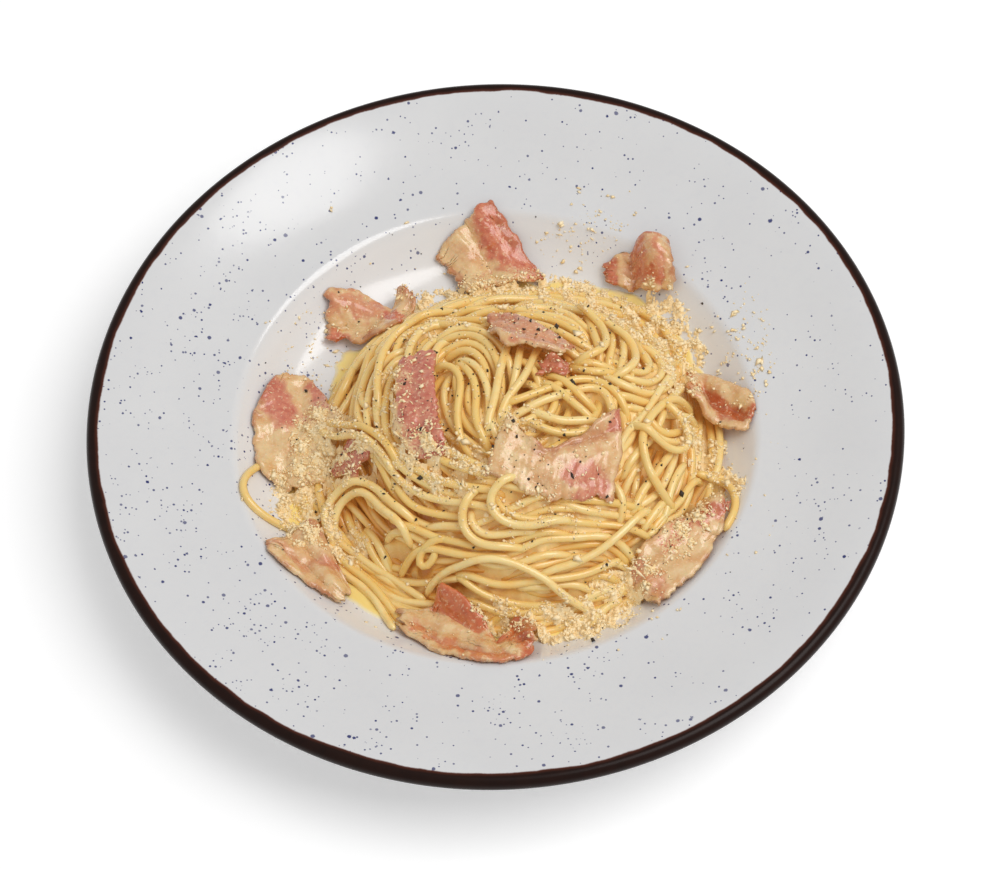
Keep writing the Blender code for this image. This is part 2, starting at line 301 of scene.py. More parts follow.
def patch(heights, keep):
    """Points and faces of the part of a height grid where keep is set, and the posts used."""
    faces = quads(*GRID_X.shape)[:, ::-1]
    faces = faces[keep.ravel()[faces].all(axis=1)]
    used = np.unique(faces)
    lookup = np.full(GRID_X.size, -1)
    lookup[used] = np.arange(len(used))
    points = np.stack([GRID_X, GRID_Y, heights], axis=-1).reshape(-1, 3)[used]
    return points, lookup[faces], used


class Joined:
    """Points and faces of many shapes, gathered for one mesh."""

    def __init__(self):
        self.parts = []
        self.faces = []
        self.count = 0

    def add(self, points, faces):
        self.parts.append(points)
        self.faces += [[index + self.count for index in face] for face in faces]
        self.count += len(points)

    def points(self):
        return np.vstack(self.parts)


def add_piece(name, points, faces, finish, slot, replaces=("spaghetti",), **attributes):
    """Makes a smooth mesh in metres that rides on the plate's body."""
    mesh = bpy.data.meshes.new(name)
    mesh.from_pydata((np.asarray(points) * MM).tolist(), [], [list(map(int, face)) for face in faces])
    for key, values in attributes.items():
        layer = mesh.attributes.new(key, "FLOAT", "POINT")
        layer.data.foreach_set("value", np.asarray(values, np.float32).ravel())
    mesh.validate()
    mesh.shade_smooth()
    mesh.materials.append(finish)
    piece = bpy.data.objects.new(name, mesh)
    bpy.context.scene.collection.objects.link(piece)
    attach(piece, "root")
    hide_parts(*replaces)


# ---------------------------------------------------------------- material helpers
class Value:
    """A number over the surface. Reckoning with it adds a Math node to its material."""

    def __init__(self, finish, socket):
        self.finish = finish
        self.socket = socket

    def __add__(self, other):
        return self.finish.math("ADD", self, other)

    def __sub__(self, other):
        return self.finish.math("SUBTRACT", self, other)

    def __rsub__(self, other):
        return self.finish.math("SUBTRACT", other, self)

    def __mul__(self, other):
        return self.finish.math("MULTIPLY", self, other)

    def __truediv__(self, other):
        return self.finish.math("DIVIDE", self, other)

    def __pow__(self, other):
        return self.finish.math("POWER", self, other)


class Finish:
    """A Principled material and short ways to wire nodes into it."""

    def __init__(self, name, **sockets):
        self.material = bpy.data.materials.new(name)
        self.material.use_nodes = True
        self.tree = self.material.node_tree
        self.shader = self.tree.nodes["Principled BSDF"]
        self.set(**sockets)

    def set(self, **sockets):
        for key, value in sockets.items():
            self.plug(value, self.shader.inputs[key.replace("_", " ")])

    def plug(self, value, socket):
        if isinstance(value, Value):
            value = value.socket
        if isinstance(value, bpy.types.NodeSocket):
            self.tree.links.new(value, socket)
        else:
            socket.default_value = value

    def node(self, kind, **inputs):
        made = self.tree.nodes.new(kind)
        for key, value in inputs.items():
            self.plug(value, made.inputs[key.replace("_", " ")])
        return made

    def place(self, scale):
        """Object coordinates in millimetres, times a scale."""
        where = self.node("ShaderNodeTexCoord").outputs["Object"]
        return self.node("ShaderNodeMapping", Vector=where, Scale=(scale / MM,) * 3).outputs[0]

    def attribute(self, name):
        made = self.tree.nodes.new("ShaderNodeAttribute")
        made.attribute_name = name
        return Value(self, made.outputs["Fac"])

    def noise_at(self, where, detail):
        made = self.node("ShaderNodeTexNoise", Vector=where, Scale=1.0, Detail=detail, Roughness=0.55)
        return Value(self, made.outputs["Fac"])

    def noise(self, size, detail):
        """Noise whose features are about a size in millimetres."""
        return self.noise_at(self.place(1 / size), detail)

    def math(self, operation, a, b):
        made = self.tree.nodes.new("ShaderNodeMath")
        made.operation = operation
        self.plug(a, made.inputs[0])
        self.plug(b, made.inputs[1])
        return Value(self, made.outputs[0])

    def ramp(self, value, low, high):
        """0 below low, 1 above high, smooth between."""
        made = self.tree.nodes.new("ShaderNodeMapRange")
        made.interpolation_type = "SMOOTHSTEP"
        self.plug(value, made.inputs["Value"])
        made.inputs["From Min"].default_value = low
        made.inputs["From Max"].default_value = high
        return Value(self, made.outputs["Result"])

    def range(self, value, low, high):
        """Stretches 0 to 1 over low to high."""
        made = self.node("ShaderNodeMapRange", Value=value, To_Min=low, To_Max=high)
        return Value(self, made.outputs["Result"])

    def mix(self, share, a, b):
        """Colour a where the share is 0 and b where it is 1."""
        made = self.tree.nodes.new("ShaderNodeMix")
        made.data_type = "RGBA"
        self.plug(share, made.inputs["Factor"])
        for colour, socket in ((a, made.inputs[6]), (b, made.inputs[7])):
            self.plug(colour if isinstance(colour, bpy.types.NodeSocket) else (*colour, 1.0), socket)
        return made.outputs[2]

    def bump(self, height, distance, strength):
        """Bump of a height from 0 to 1 over a distance in millimetres."""
        made = self.node("ShaderNodeBump", Height=height, Strength=strength, Distance=distance * MM)
        self.plug(made.outputs[0], self.shader.inputs["Normal"])


def srgb(r, g, b):
    """Linear colour of an 8-bit sRGB one."""
    shares = (c / 255 for c in (r, g, b))
    return tuple(c / 12.92 if c <= 0.04 else ((c + 0.055) / 1.055) ** 2.4 for c in shares)


def painted_glow(r, g, b):
    """Colour of a faint painted glow for an emission socket, standing in for light that comes through food
    and lifting its shade.
    """
    return (*srgb(r, g, b), 1.0)


# ---------------------------------------------------------------- plate
# Cobalt specks of the glaze, coarser ones rarer: cell size, smallest and largest dot as shares of
# it, and the share of cells that hold one.
SPECKS = ((1.6, 0.15, 0.30, 0.50), (3.2, 0.10, 0.24, 0.72), (8.0, 0.06, 0.11, 1.0))
TURNED_STEPS = 288


def plate_finish():
    made = Finish("glazed_stoneware", Roughness=0.12, IOR=1.52, Coat_Weight=0.5, Coat_Roughness=0.12)
    radius = made.attribute("radius")
    clusters = made.ramp(made.noise(16.0, 2.0), 0.47, 0.64)
    density = (clusters * 1.1 + 0.2) * made.attribute("speckle")
    specks = None
    for cell, low, high, share in SPECKS:
        dots = made.node("ShaderNodeTexVoronoi", Vector=made.place(1 / cell), Scale=1.0, Randomness=1.0)
        own = made.node("ShaderNodeSeparateColor", Color=dots.outputs["Color"]).outputs
        present = made.math("LESS_THAN", own[0], density * share)
        size = made.range(Value(made, own[1]) ** 2.2, low, high)
        warped = Value(made, dots.outputs["Distance"]) + (made.noise(0.5, 1.0) - 0.5) * 0.10
        inside = 1.0 - made.ramp(warped / size, 0.75, 1.15)
        dot = inside * present * made.range(own[2], 0.75, 1.0)
        specks = dot if specks is None else made.math("MAXIMUM", specks, dot)
    white = made.mix(made.noise(30.0, 2.0), srgb(214, 214, 215), srgb(221, 221, 221))
    mottle = made.ramp(made.noise(3.0, 5.0), 0.45, 0.8) * 0.2
    white = made.mix(mottle, white, srgb(206, 207, 212))
    # Painted light: the well's wall and floor are painted whiter than the rim, lifting the shade inside the
    # well.
    white = made.mix(made.ramp(radius, 90.0, 84.0), white, srgb(231, 230, 229))
    glaze = made.mix(specks, white, srgb(16, 32, 104))
    # Dark lip: the white glaze thins over an uneven edge, reddish where it breaks.
    edge = radius + (made.noise(14.0, 2.0) - 0.5) * 1.8 + (made.noise(1.4, 2.0) - 0.5) * 0.25
    breaking = made.ramp(edge, 130.5, 131.0)
    dark = made.ramp(edge, 130.8, 131.2)
    brown = made.mix(made.noise(4.0, 3.0), srgb(20, 7, 4), srgb(38, 16, 8))
    brown = made.mix(made.ramp(edge, 132.2, 130.9), brown, srgb(72, 32, 19))
    colour = made.mix(breaking, glaze, srgb(96, 48, 30))
    made.set(Base_Color=made.mix(dark, colour, brown))
    made.set(Roughness=made.range(made.noise(14.0, 3.0), 0.14, 0.22) + dark * 0.12)
    made.set(Coat_Weight=(1.0 - dark) * 0.5)
    made.set(Specular_IOR_Level=made.range(dark, 0.5, 0.14))
    made.bump(made.noise(16.0, 3.0), 0.12, 0.5)
    return made.material


def plate_profile():
    """Half of the plate's cross-section as (radius, height), from under its middle, out and back."""
    edge = 0.6
    half = [
        (0.001, FLOOR_UNDER),
        (FOOT_INNER - 2.5, FLOOR_UNDER),
        (FOOT_INNER - 1.0, FLOOR_UNDER - 0.5),
        (FOOT_INNER, edge),
        (FOOT_INNER + edge, 0.0),
        (FOOT_OUTER - edge, 0.0),
        (FOOT_OUTER, edge),
        (FOOT_OUTER + 1.2, FLOOR_UNDER - 0.6),
    ]
    half += [(r, float(plate_under(r))) for r in np.arange(FOOT_OUTER + 2.5, LIP_CENTRE - 2.0, 1.5)]
    for angle in np.radians(np.arange(-60, 91, 10)):
        height = PLATE_HEIGHT - LIP_RADIUS + LIP_RADIUS * math.sin(angle)
        half.append((LIP_CENTRE + LIP_RADIUS * math.cos(angle), height))
    rim = np.arange(LIP_CENTRE - 1.0, SHOULDER_RADIUS + 2, -1.5)
    wall = np.arange(SHOULDER_RADIUS + 1.5, FLOOR_RADIUS, -0.5)
    half += [(r, float(plate_top(r))) for r in (*rim, *wall)]
    half += [(r, FLOOR_TOP) for r in (FLOOR_RADIUS, 50.0, 30.0, 12.0, 0.001)]
    return np.array(half)


def make_plate():
    half = plate_profile()
    angle = np.linspace(0, TURN, TURNED_STEPS, endpoint=False)
    points = np.zeros((len(half), TURNED_STEPS, 3))
    points[..., 0] = half[:, :1] * np.cos(angle)
    points[..., 1] = half[:, :1] * np.sin(angle)
    points[..., 2] = half[:, 1:]
    points = points.reshape(-1, 3)
    # The dark lip reaches further in on the underside, which is the first part of the profile.
    below_lip = (half[:, 1] < PLATE_HEIGHT - LIP_RADIUS) & (half[:, 0] > 124.0)
    glazed_as_lip = below_lip & (np.arange(len(half)) < 60)
    radius = np.repeat(np.where(glazed_as_lip, PLATE_RADIUS, half[:, 0]), TURNED_STEPS)
    # More specks to the left and in front.
    x, y, _ = points.T
    speckle = 0.55 + 0.45 * smoothstep(40, -110, x) + 0.35 * smoothstep(-40, -120, y)
    faces = quads(len(half), TURNED_STEPS, wrap=True)
    add_piece(
        "glazed_plate", points, faces, plate_finish(), "glazed_stoneware",
        replaces=["plate"], radius=radius, speckle=speckle,
    )


# ---------------------------------------------------------------- spaghetti
STRAND_RADIUS = 1.4
STRAND_UNEVEN = (0.94, 1.05)
LOWER_SHARE = 0.52  # share of the strands, first laid first, that the lower piece holds
STRAND_STEP = 1.5
STRAND_SIDES = 8
STRAND_LENGTH = 260.0
TUCK_DEPTH = 4.5
TUCK_LENGTH = 9.0
ROUTE_STEP = 2.0
CORE_SHRINK = 7.0
CORE_LOWER = 9.0
NEST_STEP = 3.0
NEST_LAYERS = 2
NEST_REACH = (8.0, 70.0)  # how near and how far from the heap's centre filler strands wind
NEST_MARGIN = 3.0  # how far inside the heap's outline the filler strands stay
PROBE = 0.8  # how far to each side a strand feels for a groove
SLIPS = 8  # how many times it slips a little towards one
SAGS = 30  # how many times it sinks a little between what holds it
HEAP_BLUR = 5.0  # over what width the strands' tops are evened out against the smooth heap
PROUD = 0.9  # how far the middle of a strand may stand over the smooth heap
BACK_SHRINK = 6.0  # how much shorter the strands reach at the back, where cheese makes the edge

# Routes of the strands that show most, lowest first: how many run side by side, how far apart,
# points (x, y) that the middle one passes, and which end lies free.
ROUTES = (
    (3, 2.7, ((-29, 33), (-17, 52), (0, 56), (21, 55), (42, 49), (56, 38), (60, 17))),
    (2, 2.8, ((-24, 38), (-3, 51), (18, 51), (38, 44), (50, 26))),
    (1, 0, ((-66, 6), (-77, -4), (-84, -13), (-86, -20), (-82, -26), (-74, -30), (-64, -30))),
    (3, 2.8, ((-36, 34), (-41, 26), (-46, 16), (-48, 5), (-45, -8), (-38, -18))),
    (1, 0, ((-42, 12), (-47, 13), (-48, 9), (-43, 1), (-37, -6))),
    (4, 2.6, ((-42, -46), (-30, -54), (-16, -58), (-1, -60), (10, -59), (20, -58), (30, -58), (46, -57))),
    (3, 2.6, ((-25, -50), (-18, -56), (-11, -60), (-2, -63), (9, -64), (22, -62), (38, -60))),
    (4, 2.6, ((-41, -22), (-38, -30), (-32, -37), (-24, -42), (-15, -45), (-2, -48), (14, -47))),
    (4, 2.6, ((-26, -45), (-10, -48), (0, -48), (10, -46), (21, -43), (31, -41), (42, -39))),
    (3, 2.7, ((18, -42), (28, -44), (36, -44), (44, -44), (53, -44))),
    (3, 2.6, ((-34, -45), (-21, -52), (-6, -56), (5, -54), (15, -51), (26, -49), (33, -48), (38, -50),
        (39, -55))),
    (2, 2.8, ((-1, -58), (12, -57), (21, -56), (25, -53), (32, -52), (35, -54))),
    (2, 2.7, ((-36, -36), (-29, -42), (-20, -47), (-10, -51), (-1, -53), (9, -52), (24, -51)), "start"),
    (1, 0, ((4, -32), (-1, -35), (-3, -38), (-2, -42), (3, -45), (12, -46), (25, -46))),
    (1, 0, ((-5, -37), (-9, -40), (-11, -44), (-8, -48), (-2, -50), (4, -50), (14, -48))),
    (1, 0, ((-32, -51), (-31, -47), (-27, -45), (-22, -47), (-15, -51), (-8, -54), (4, -54))),
    (1, 0, ((-16, -49), (-20, -47), (-25, -47), (-29, -49), (-28, -53), (-24, -54), (-20, -52),
        (-20, -49))),
    (2, 2.8, ((-57, -34), (-55, -41), (-51, -45), (-46, -47), (-41, -52), (-38, -59), (-35, -70))),
    (2, 3, ((-44, -31), (-42, -37), (-40, -43), (-35, -48))),
    (1, 0, ((-41, -39), (-36, -41), (-34, -47))),
    (2, 2.8, ((2, 28), (-10, 33), (-20, 37), (-30, 35), (-35, 28), (-36, 19), (-32, 11))),
    (3, 2.7, ((-24, 24), (-33, 21), (-39, 13), (-41, 4), (-40, -6), (-37, -16), (-32, -25), (-23, -33),
        (-12, -38), (2, -41))),
    (2, 2.8, ((-15, 32), (-22, 34), (-27, 28), (-29, 18), (-28, 6))),
    (2, 2.8, ((-8, 27), (-17, 28), (-22, 22), (-24, 13), (-23, 2))),
    (4, 2.5, ((-18, 21), (-10, 24), (-4, 18), (1, 9), (2, 0), (0, -9), (-1, -17))),
    (1, 0, ((-22, 11), (-18, 14), (-14, 12), (-10, 5), (-10, -3), (-12, -10), (-11, -17), (-7, -24),
        (0, -30))),
    (2, 2.8, ((-14, 12), (-8, 7), (-5, 0), (-5, -9), (-3, -17), (2, -23))),
    (3, 2.6, ((-26, -8), (-24, -18), (-18, -25), (-9, -31), (2, -35), (14, -37))),
    (2, 2.8, ((8, 22), (6, 14), (4, 3), (1, -7), (-1, -18))),
    (1, 0, ((20, 22), (14, 12), (9, 3), (4, -6), (1, -15))),
    (3, 2.7, ((6, 30), (20, 23), (30, 17), (38, 9), (45, 3), (52, 3), (58, 10), (58, 19), (53, 26),
        (46, 28))),
    (1, 0, ((31, 45), (34, 28), (37, 17), (38, 9))),
    (2, 2.8, ((40, 44), (43, 26), (43, 14), (42, 6))),
    (1, 0, ((48, 30), (52, 21), (53, 12))),
    (2, 2.7, ((24, 12), (30, 7), (36, 6), (42, 8))),
    (2, 2.7, ((4, -9), (11, -8), (18, -6), (26, -1), (31, 3), (37, 2), (41, -3), (43, -12))),
    (2, 2.7, ((11, -10), (16, -14), (22, -18), (29, -17), (38, -12))),
    (2, 2.8, ((16, 4), (22, 0), (28, -8), (34, -12))),
    (2, 2.7, ((40, -4), (46, -3), (52, -5), (59, -4), (66, 2))),
    (2, 2.8, ((62, 18), (58, 6), (53, -3), (48, -13), (42, -22), (38, -29))),
    (2, 2.7, ((50, -6), (50, -14), (56, -17), (62, -13), (64, -5))),
    (3, 2.6, ((67, -20), (63, -30), (56, -40), (50, -46))),
    (3, 2.6, ((59, -18), (55, -29), (50, -38), (45, -44))),
    (1, 0, ((66, -22), (72, -20), (77, -24), (79, -32), (77, -38), (73, -43))),
    (1, 0, ((34, -33), (41, -36), (42, -40), (37, -43))),
    (3, 2.8, ((3, -65), (9, -67), (16, -66), (24, -64), (32, -62))),
    (3, 2.7, ((-16, -57), (-4, -62), (10, -64), (24, -62), (40, -57))),
    (2, 2.8, ((8, -70), (14, -69), (21, -67), (28, -64), (37, -60))),
    (1, 0, ((25, -70), (30, -65), (35, -62), (38, -57))),
    (1, 0, ((-7, -72), (-8, -66), (-3, -64), (1, -66), (5, -63))),
    (1, 0, ((63, 36), (62, 29), (62, 20), (58, 14))),
    (1, 0, ((-40, -29), (-42, -24), (-46, -20), (-52, -18), (-57, -21), (-58, -27), (-53, -35),
        (-45, -42), (-35, -49), (-24, -57)), "end"),
)
# Routes laid after the bacon.
LATE_ROUTES = (
    (2, 2.9, ((-57, 5), (-51, -3), (-45, -9), (-38, -16), (-32, -23)), "start"),
    (2, 2.9, ((-55, -38), (-57, -31), (-56, -24), (-50, -20), (-44, -23), (-41, -30), (-36, -37),
        (-27, -43))),
    (1, 0, ((8, -33), (0, -34), (-5, -38), (-4, -43), (2, -46), (12, -47), (24, -45))),
    (1, 0, ((-5, -34), (-11, -38), (-13, -44), (-9, -49), (-1, -51), (8, -50))),
    (1, 0, ((10, -62), (22, -59), (33, -53), (42, -46), (50, -38))),
    (1, 0, ((-26, -55), (-14, -54), (-2, -56), (10, -60), (22, -65), (30, -66))),
    (1, 0, ((8, 45), (22, 42), (35, 35), (45, 25), (50, 14), (46, 6), (38, 4))),
    (1, 0, ((28, 40), (38, 30), (40, 18), (34, 10), (26, 12))),
    (1, 0, ((66, 4), (57, -1), (50, -9), (47, -20), (50, -31), (57, -37))),
    (1, 0, ((43, -12), (52, -16), (60, -22), (65, -14), (62, -5), (54, -2))),
    (1, 0, ((-8, 44), (-20, 40), (-30, 32), (-37, 22), (-40, 10), (-38, -2))),
)


class Heap:
    """Strands laid so far, with the grids that say how high the next one comes to lie."""

    def __init__(self, core):
        self.strands = []
        self.top = core.copy()
        self.rest = core + STRAND_RADIUS
        self.level = core

    def stamp(self, points):
        between = (points[1:] + points[:-1]) / 2
        stamp(self.top, np.concatenate([points, between]), STRAND_RADIUS)
        stamp(self.rest, points, 2 * STRAND_RADIUS)

    def stamp_sheet(self, points):
        """Raises the grids to a laid sheet."""
        x, y, z = points.T
        i, j = grid_place(x).astype(int), grid_place(y).astype(int)
        for di in (0, 1):
            for dj in (0, 1):
                np.maximum.at(self.top, (i + di, j + dj), z)
        stamp(self.rest, points[::4], STRAND_RADIUS)

    def lay(self, route, free=""):
        """Lays a strand along a route: it slips towards grooves, then hangs between what holds it.

        Its ends dive in among the others, apart from a free "start" or "end".
        """
        line = respaced(np.asarray(route, float), STRAND_STEP)
        relief = self.rest - self.level
        for _ in range(SLIPS):
            across = sideways(line)
            left, right = (sample(relief, *(line[:, :2] + across * side).T) for side in (PROBE, -PROBE))
            slope = (left - right) / (2 * PROBE)
            push = smoothed(np.clip(-0.4 * slope, -0.3, 0.3), 14)
            line[:, :2] += across * push[:, None]
            line[:, :2] = smoothed(line[:, :2], 3)
        line = respaced(line[:, :2], STRAND_STEP)
        floor = sample(self.rest, line[:, 0], line[:, 1])
        height = floor.copy()
        for _ in range(SAGS):
            hanging = 0.25 * (height[:-2] + height[2:]) + 0.5 * height[1:-1]
            height[1:-1] = np.maximum(floor[1:-1], hanging)
        travelled = np.arange(len(line)) * STRAND_STEP
        for name, away in (("start", travelled), ("end", travelled[::-1])):
            if name not in free:
                height -= TUCK_DEPTH * np.clip(1 - away / TUCK_LENGTH, 0, 1) ** 1.6
        height = np.maximum(height, plate_top(np.hypot(*line.T)) + STRAND_RADIUS)
        strand = np.column_stack([line, height])
        self.stamp(strand)
        self.strands.append(strand)

    def lay_bundle(self, count, apart, knots, free=""):
        """Lays strands side by side along one smooth route."""
        middle = respaced(smooth_curve(knots), ROUTE_STEP)
        across = sideways(middle)
        travelled = np.arange(len(middle)) * ROUTE_STEP
        for k in range(count):
            offset = (k - (count - 1) / 2) * apart
            wander = 0.7 * np.sin(travelled / rng.uniform(20, 34) + rng.uniform(*ANY_ANGLE)) * (count > 1)
            line = middle + across * (offset + wander)[:, None]
            self.lay(smoothed(line, 3), free)

    def wind(self, start_reach, length):
        """Lays one filler strand that winds round the heap's centre while its distance drifts."""
        drift, angle = rng.uniform(-5, 5), rng.uniform(*ANY_ANGLE)
        swell, phase = rng.uniform(1.0, 3.2), rng.uniform(*ANY_ANGLE)
        lobes = rng.integers(2, 5)
        travelled, reach, points = 0.0, start_reach, []
        while travelled < length:
            own_reach = reach + swell * math.sin(lobes * angle + phase)
            outline = float(skirt_radius(np.array(angle))) - NEST_MARGIN
            outline -= BACK_SHRINK * max(math.sin(angle), 0.0) ** 4
            own_reach = min(max(own_reach, 4.0), outline)
            x = HEAP_CENTRE[0] + own_reach * math.cos(angle)
            points.append((x, HEAP_CENTRE[1] + own_reach * math.sin(angle)))
            angle += NEST_STEP / max(own_reach, 8.0)
            reach += drift * NEST_STEP / length
            travelled += NEST_STEP
        self.lay(smoothed(np.array(points), 2))

    def lower_onto(self, dome):
        """Shifts every strand up or down so that the heap's blurred top meets the dome."""
        excess = blur(self.top - dome, HEAP_BLUR)
        self.top[:] = PLATE_GRID
        self.rest[:] = PLATE_GRID + STRAND_RADIUS
        for strand in self.strands:
            x, y = strand[:, 0], strand[:, 1]
            strand[:, 2] -= sample(excess, x, y)
            strand[:, 2] = smoothed(np.minimum(strand[:, 2], sample(dome, x, y) + PROUD), 2)
            strand[:, 2] = np.maximum(strand[:, 2], plate_top(np.hypot(x, y)) + STRAND_RADIUS)
            self.stamp(strand)


def make_heap():
    """Filler strands in two layers, then the ones that show, over a low core."""
    heap = Heap(np.maximum(heap_dome(GRID_X, GRID_Y, CORE_SHRINK, CORE_LOWER), PLATE_GRID))
    narrowest, widest = NEST_REACH
    for _ in range(NEST_LAYERS):
        reach = widest
        while reach > narrowest:
            length = min(STRAND_LENGTH, TURN * reach * 1.05)
            heap.wind(reach, length)
            # The outer rounds get a second, shorter strand.
            if reach > 40:
                heap.wind(reach, length * 0.7)
            # Closer together on the steep part of the dome.
            reach -= 2.0 if 42 <= reach <= 62 else 3.0
    for route in ROUTES:
        heap.lay_bundle(*route)
    heap.lower_onto(beneath(GRID_X, GRID_Y))
    return heap


def tube(line, radius):
    """Points and faces of a round strand along a line, with rounded ends."""
    tangent = np.gradient(line, axis=0)
    tangent /= np.linalg.norm(tangent, axis=1, keepdims=True)
    side = np.cross(tangent, (0, 0, 1.0))
    side /= np.linalg.norm(side, axis=1, keepdims=True)
    up = np.cross(side, tangent)
    girth = np.full(len(line), radius)
    girth[[0, -1]] *= 0.45
    girth[[1, -2]] *= 0.97
    angle = np.linspace(0, TURN, STRAND_SIDES, endpoint=False)
    ring = np.cos(angle)[:, None] * side[:, None, :] + np.sin(angle)[:, None] * up[:, None, :]
    points = line[:, None, :] + ring * girth[:, None, None]
    faces = quads(len(line), STRAND_SIDES, wrap=True)[:, ::-1].tolist()
    first = list(range(STRAND_SIDES))
    last = [(len(line) - 1) * STRAND_SIDES + k for k in first]
    return points.reshape(-1, 3), faces + [first, last[::-1]]


def pasta_finish():
    made = Finish(
        "spaghetti", Roughness=0.3, IOR=1.42, Coat_Weight=0.8, Coat_Roughness=0.16,
        Subsurface_Weight=0.25, Subsurface_Scale=0.0007, Subsurface_Radius=(1.0, 0.6, 0.3),
        # Emission is a faint painted glow that lifts the strands' shade.
        Emission_Strength=0.055, Emission_Color=painted_glow(255, 190, 96),
    )
    pasta = made.mix(made.attribute("tone"), srgb(232, 195, 110), srgb(241, 217, 151))
    pasta = made.mix(made.ramp(made.noise(5.0, 3.0), 0.4, 0.7) * 0.6, pasta, srgb(240, 194, 104))
    # Painted shade: strands that lie deeper under the heap's top are painted a darker gold.
    pasta = made.mix(made.ramp(made.attribute("depth"), 0.0, 0.9), pasta, srgb(228, 166, 76))
    coat = made.attribute("cheesy") * made.ramp(made.noise(0.55, 3.0), 0.42, 0.62)
    made.set(Base_Color=made.mix(coat, pasta, srgb(243, 218, 161)))
    made.set(Roughness=made.range(made.noise(1.3, 3.0) * 0.5 + coat, 0.14, 0.55))
    made.bump(made.noise(1.1, 3.0) * 0.4 + coat, 0.1, 0.5)
    return made.material


def core_finish():
    """Thick sauce between the strands: creamy where it comes close to the top, golden lower down, and
    painted dark brown as shade in the deepest gaps.
    """
    made = Finish(
        "golden_sauce", Roughness=0.18, IOR=1.42, Coat_Weight=0.5, Coat_Roughness=0.1,
        Subsurface_Weight=0.15, Subsurface_Scale=0.0006, Subsurface_Radius=(1.0, 0.55, 0.25),
        # Emission is a faint painted glow that lifts the sauce's shade.
        Emission_Strength=0.035, Emission_Color=painted_glow(255, 190, 96),
    )
    closeness = made.attribute("closeness")
    deep = made.mix(made.noise(6.0, 3.0), srgb(232, 180, 94), srgb(240, 194, 110))
    creamy = made.mix(made.noise(3.0, 3.0), srgb(245, 212, 138), srgb(250, 224, 164))
    # Painted shade: the sauce turns dark brown where it lies deepest under the strands.
    shade = made.mix(made.ramp(closeness, 0.0, 0.35), srgb(182, 110, 40), deep)
    made.set(Base_Color=made.mix(made.ramp(closeness, 0.2, 0.65), shade, creamy))
    made.set(Roughness=made.range(made.noise(2.0, 3.0), 0.14, 0.4))
    made.bump(made.noise(1.6, 4.0), 0.35, 0.8)
    return made.material


def make_strands(heap, density):
    """Joins the strands into a lower and an upper piece."""
    finish = pasta_finish()
    upper_level = blur(heap.top, 2.5)
    half = int(len(heap.strands) * LOWER_SHARE)
    groups = {"spaghetti_lower": heap.strands[:half], "spaghetti_upper": heap.strands[half:]}
    for name, strands in groups.items():
        joined, tone = Joined(), []
        for strand in strands:
            line = np.column_stack([strand[:, :2], smoothed(strand[:, 2], 1)])
            points, faces = tube(line, STRAND_RADIUS * rng.uniform(*STRAND_UNEVEN))
            joined.add(points, faces)
            tone.append(np.full(len(points), rng.uniform(0, 1)))
        points = joined.points()
        x, y, z = points.T
        # How deep each point lies under the heap's top, which sets the painted shade of the lower strands.
        depth = np.clip((sample(upper_level, x, y) - z) / 6.0, 0, 1)
        add_piece(
            name, points, joined.faces, finish, "spaghetti",
            tone=np.concatenate(tone), cheesy=sample(density, x, y), depth=depth,
        )


# Where the strands lie more loosely and the gaps are deep, so that the sauce there takes the darkest
# painted shade: centre, half sizes, turn, amount.
OPEN_SLOPES = (
    (-36, -22, 24, 16, -40, 1.1), (-40, 6, 10, 26, 0, 0.8), (8, 6, 26, 14, 0, 0.5),
    (40, 30, 12, 10, -30, 0.5), (56, -22, 10, 16, 20, 0.5), (-20, -52, 18, 8, -20, 0.6),
)
DEEP_GAP = 4.6  # how far beneath the strands' tops the sauce is at its darkest


def make_core(heap):
    """Sauce that fills the heap: creamy close under some strands, deep and golden elsewhere, and painted
    dark as shade in the deepest gaps.
    """
    angle, reach = from_heap_centre(GRID_X, GRID_Y)
    edge = skirt_radius(angle) - 4.0 + 1.5 * waves(GRID_X, GRID_Y, 7.0, 8)
    creamy = smoothstep(-0.9, 0.9, waves(GRID_X, GRID_Y, 11.0, 5))
    open_slope = patches(OPEN_SLOPES, GRID_X, GRID_Y)
    ripple = 0.3 * waves(GRID_X, GRID_Y, 3.0, 6)
    depth = 2.7 - 1.8 * creamy * (1 - open_slope) + 2.2 * open_slope + ripple
    level = blur(heap.top, 1.2) - np.clip(depth, 0.7, 5.6)
    level = blur(np.where(reach < edge, level, PLATE_GRID - 2.0), 0.5)
    points, faces, used = patch(level, level - PLATE_GRID > -1.0)
    closeness = np.clip(1 + blur(level - heap.top, 0.9).ravel()[used] / DEEP_GAP, 0, 1)
    add_piece("sauce_core", points, faces, core_finish(), "sauce", closeness=closeness)


# ---------------------------------------------------------------- bacon
BACON_THICKNESS = 1.5
BACON_STEP = 0.55
CLEARANCE = 0.35  # how far a slice's underside keeps above the strands' tops
SETTLING = 30  # rounds of evening out before the folds
FOLD_EASING = 8  # and after them
BROWN_EDGE = 0.75  # how brown a crisp edge is

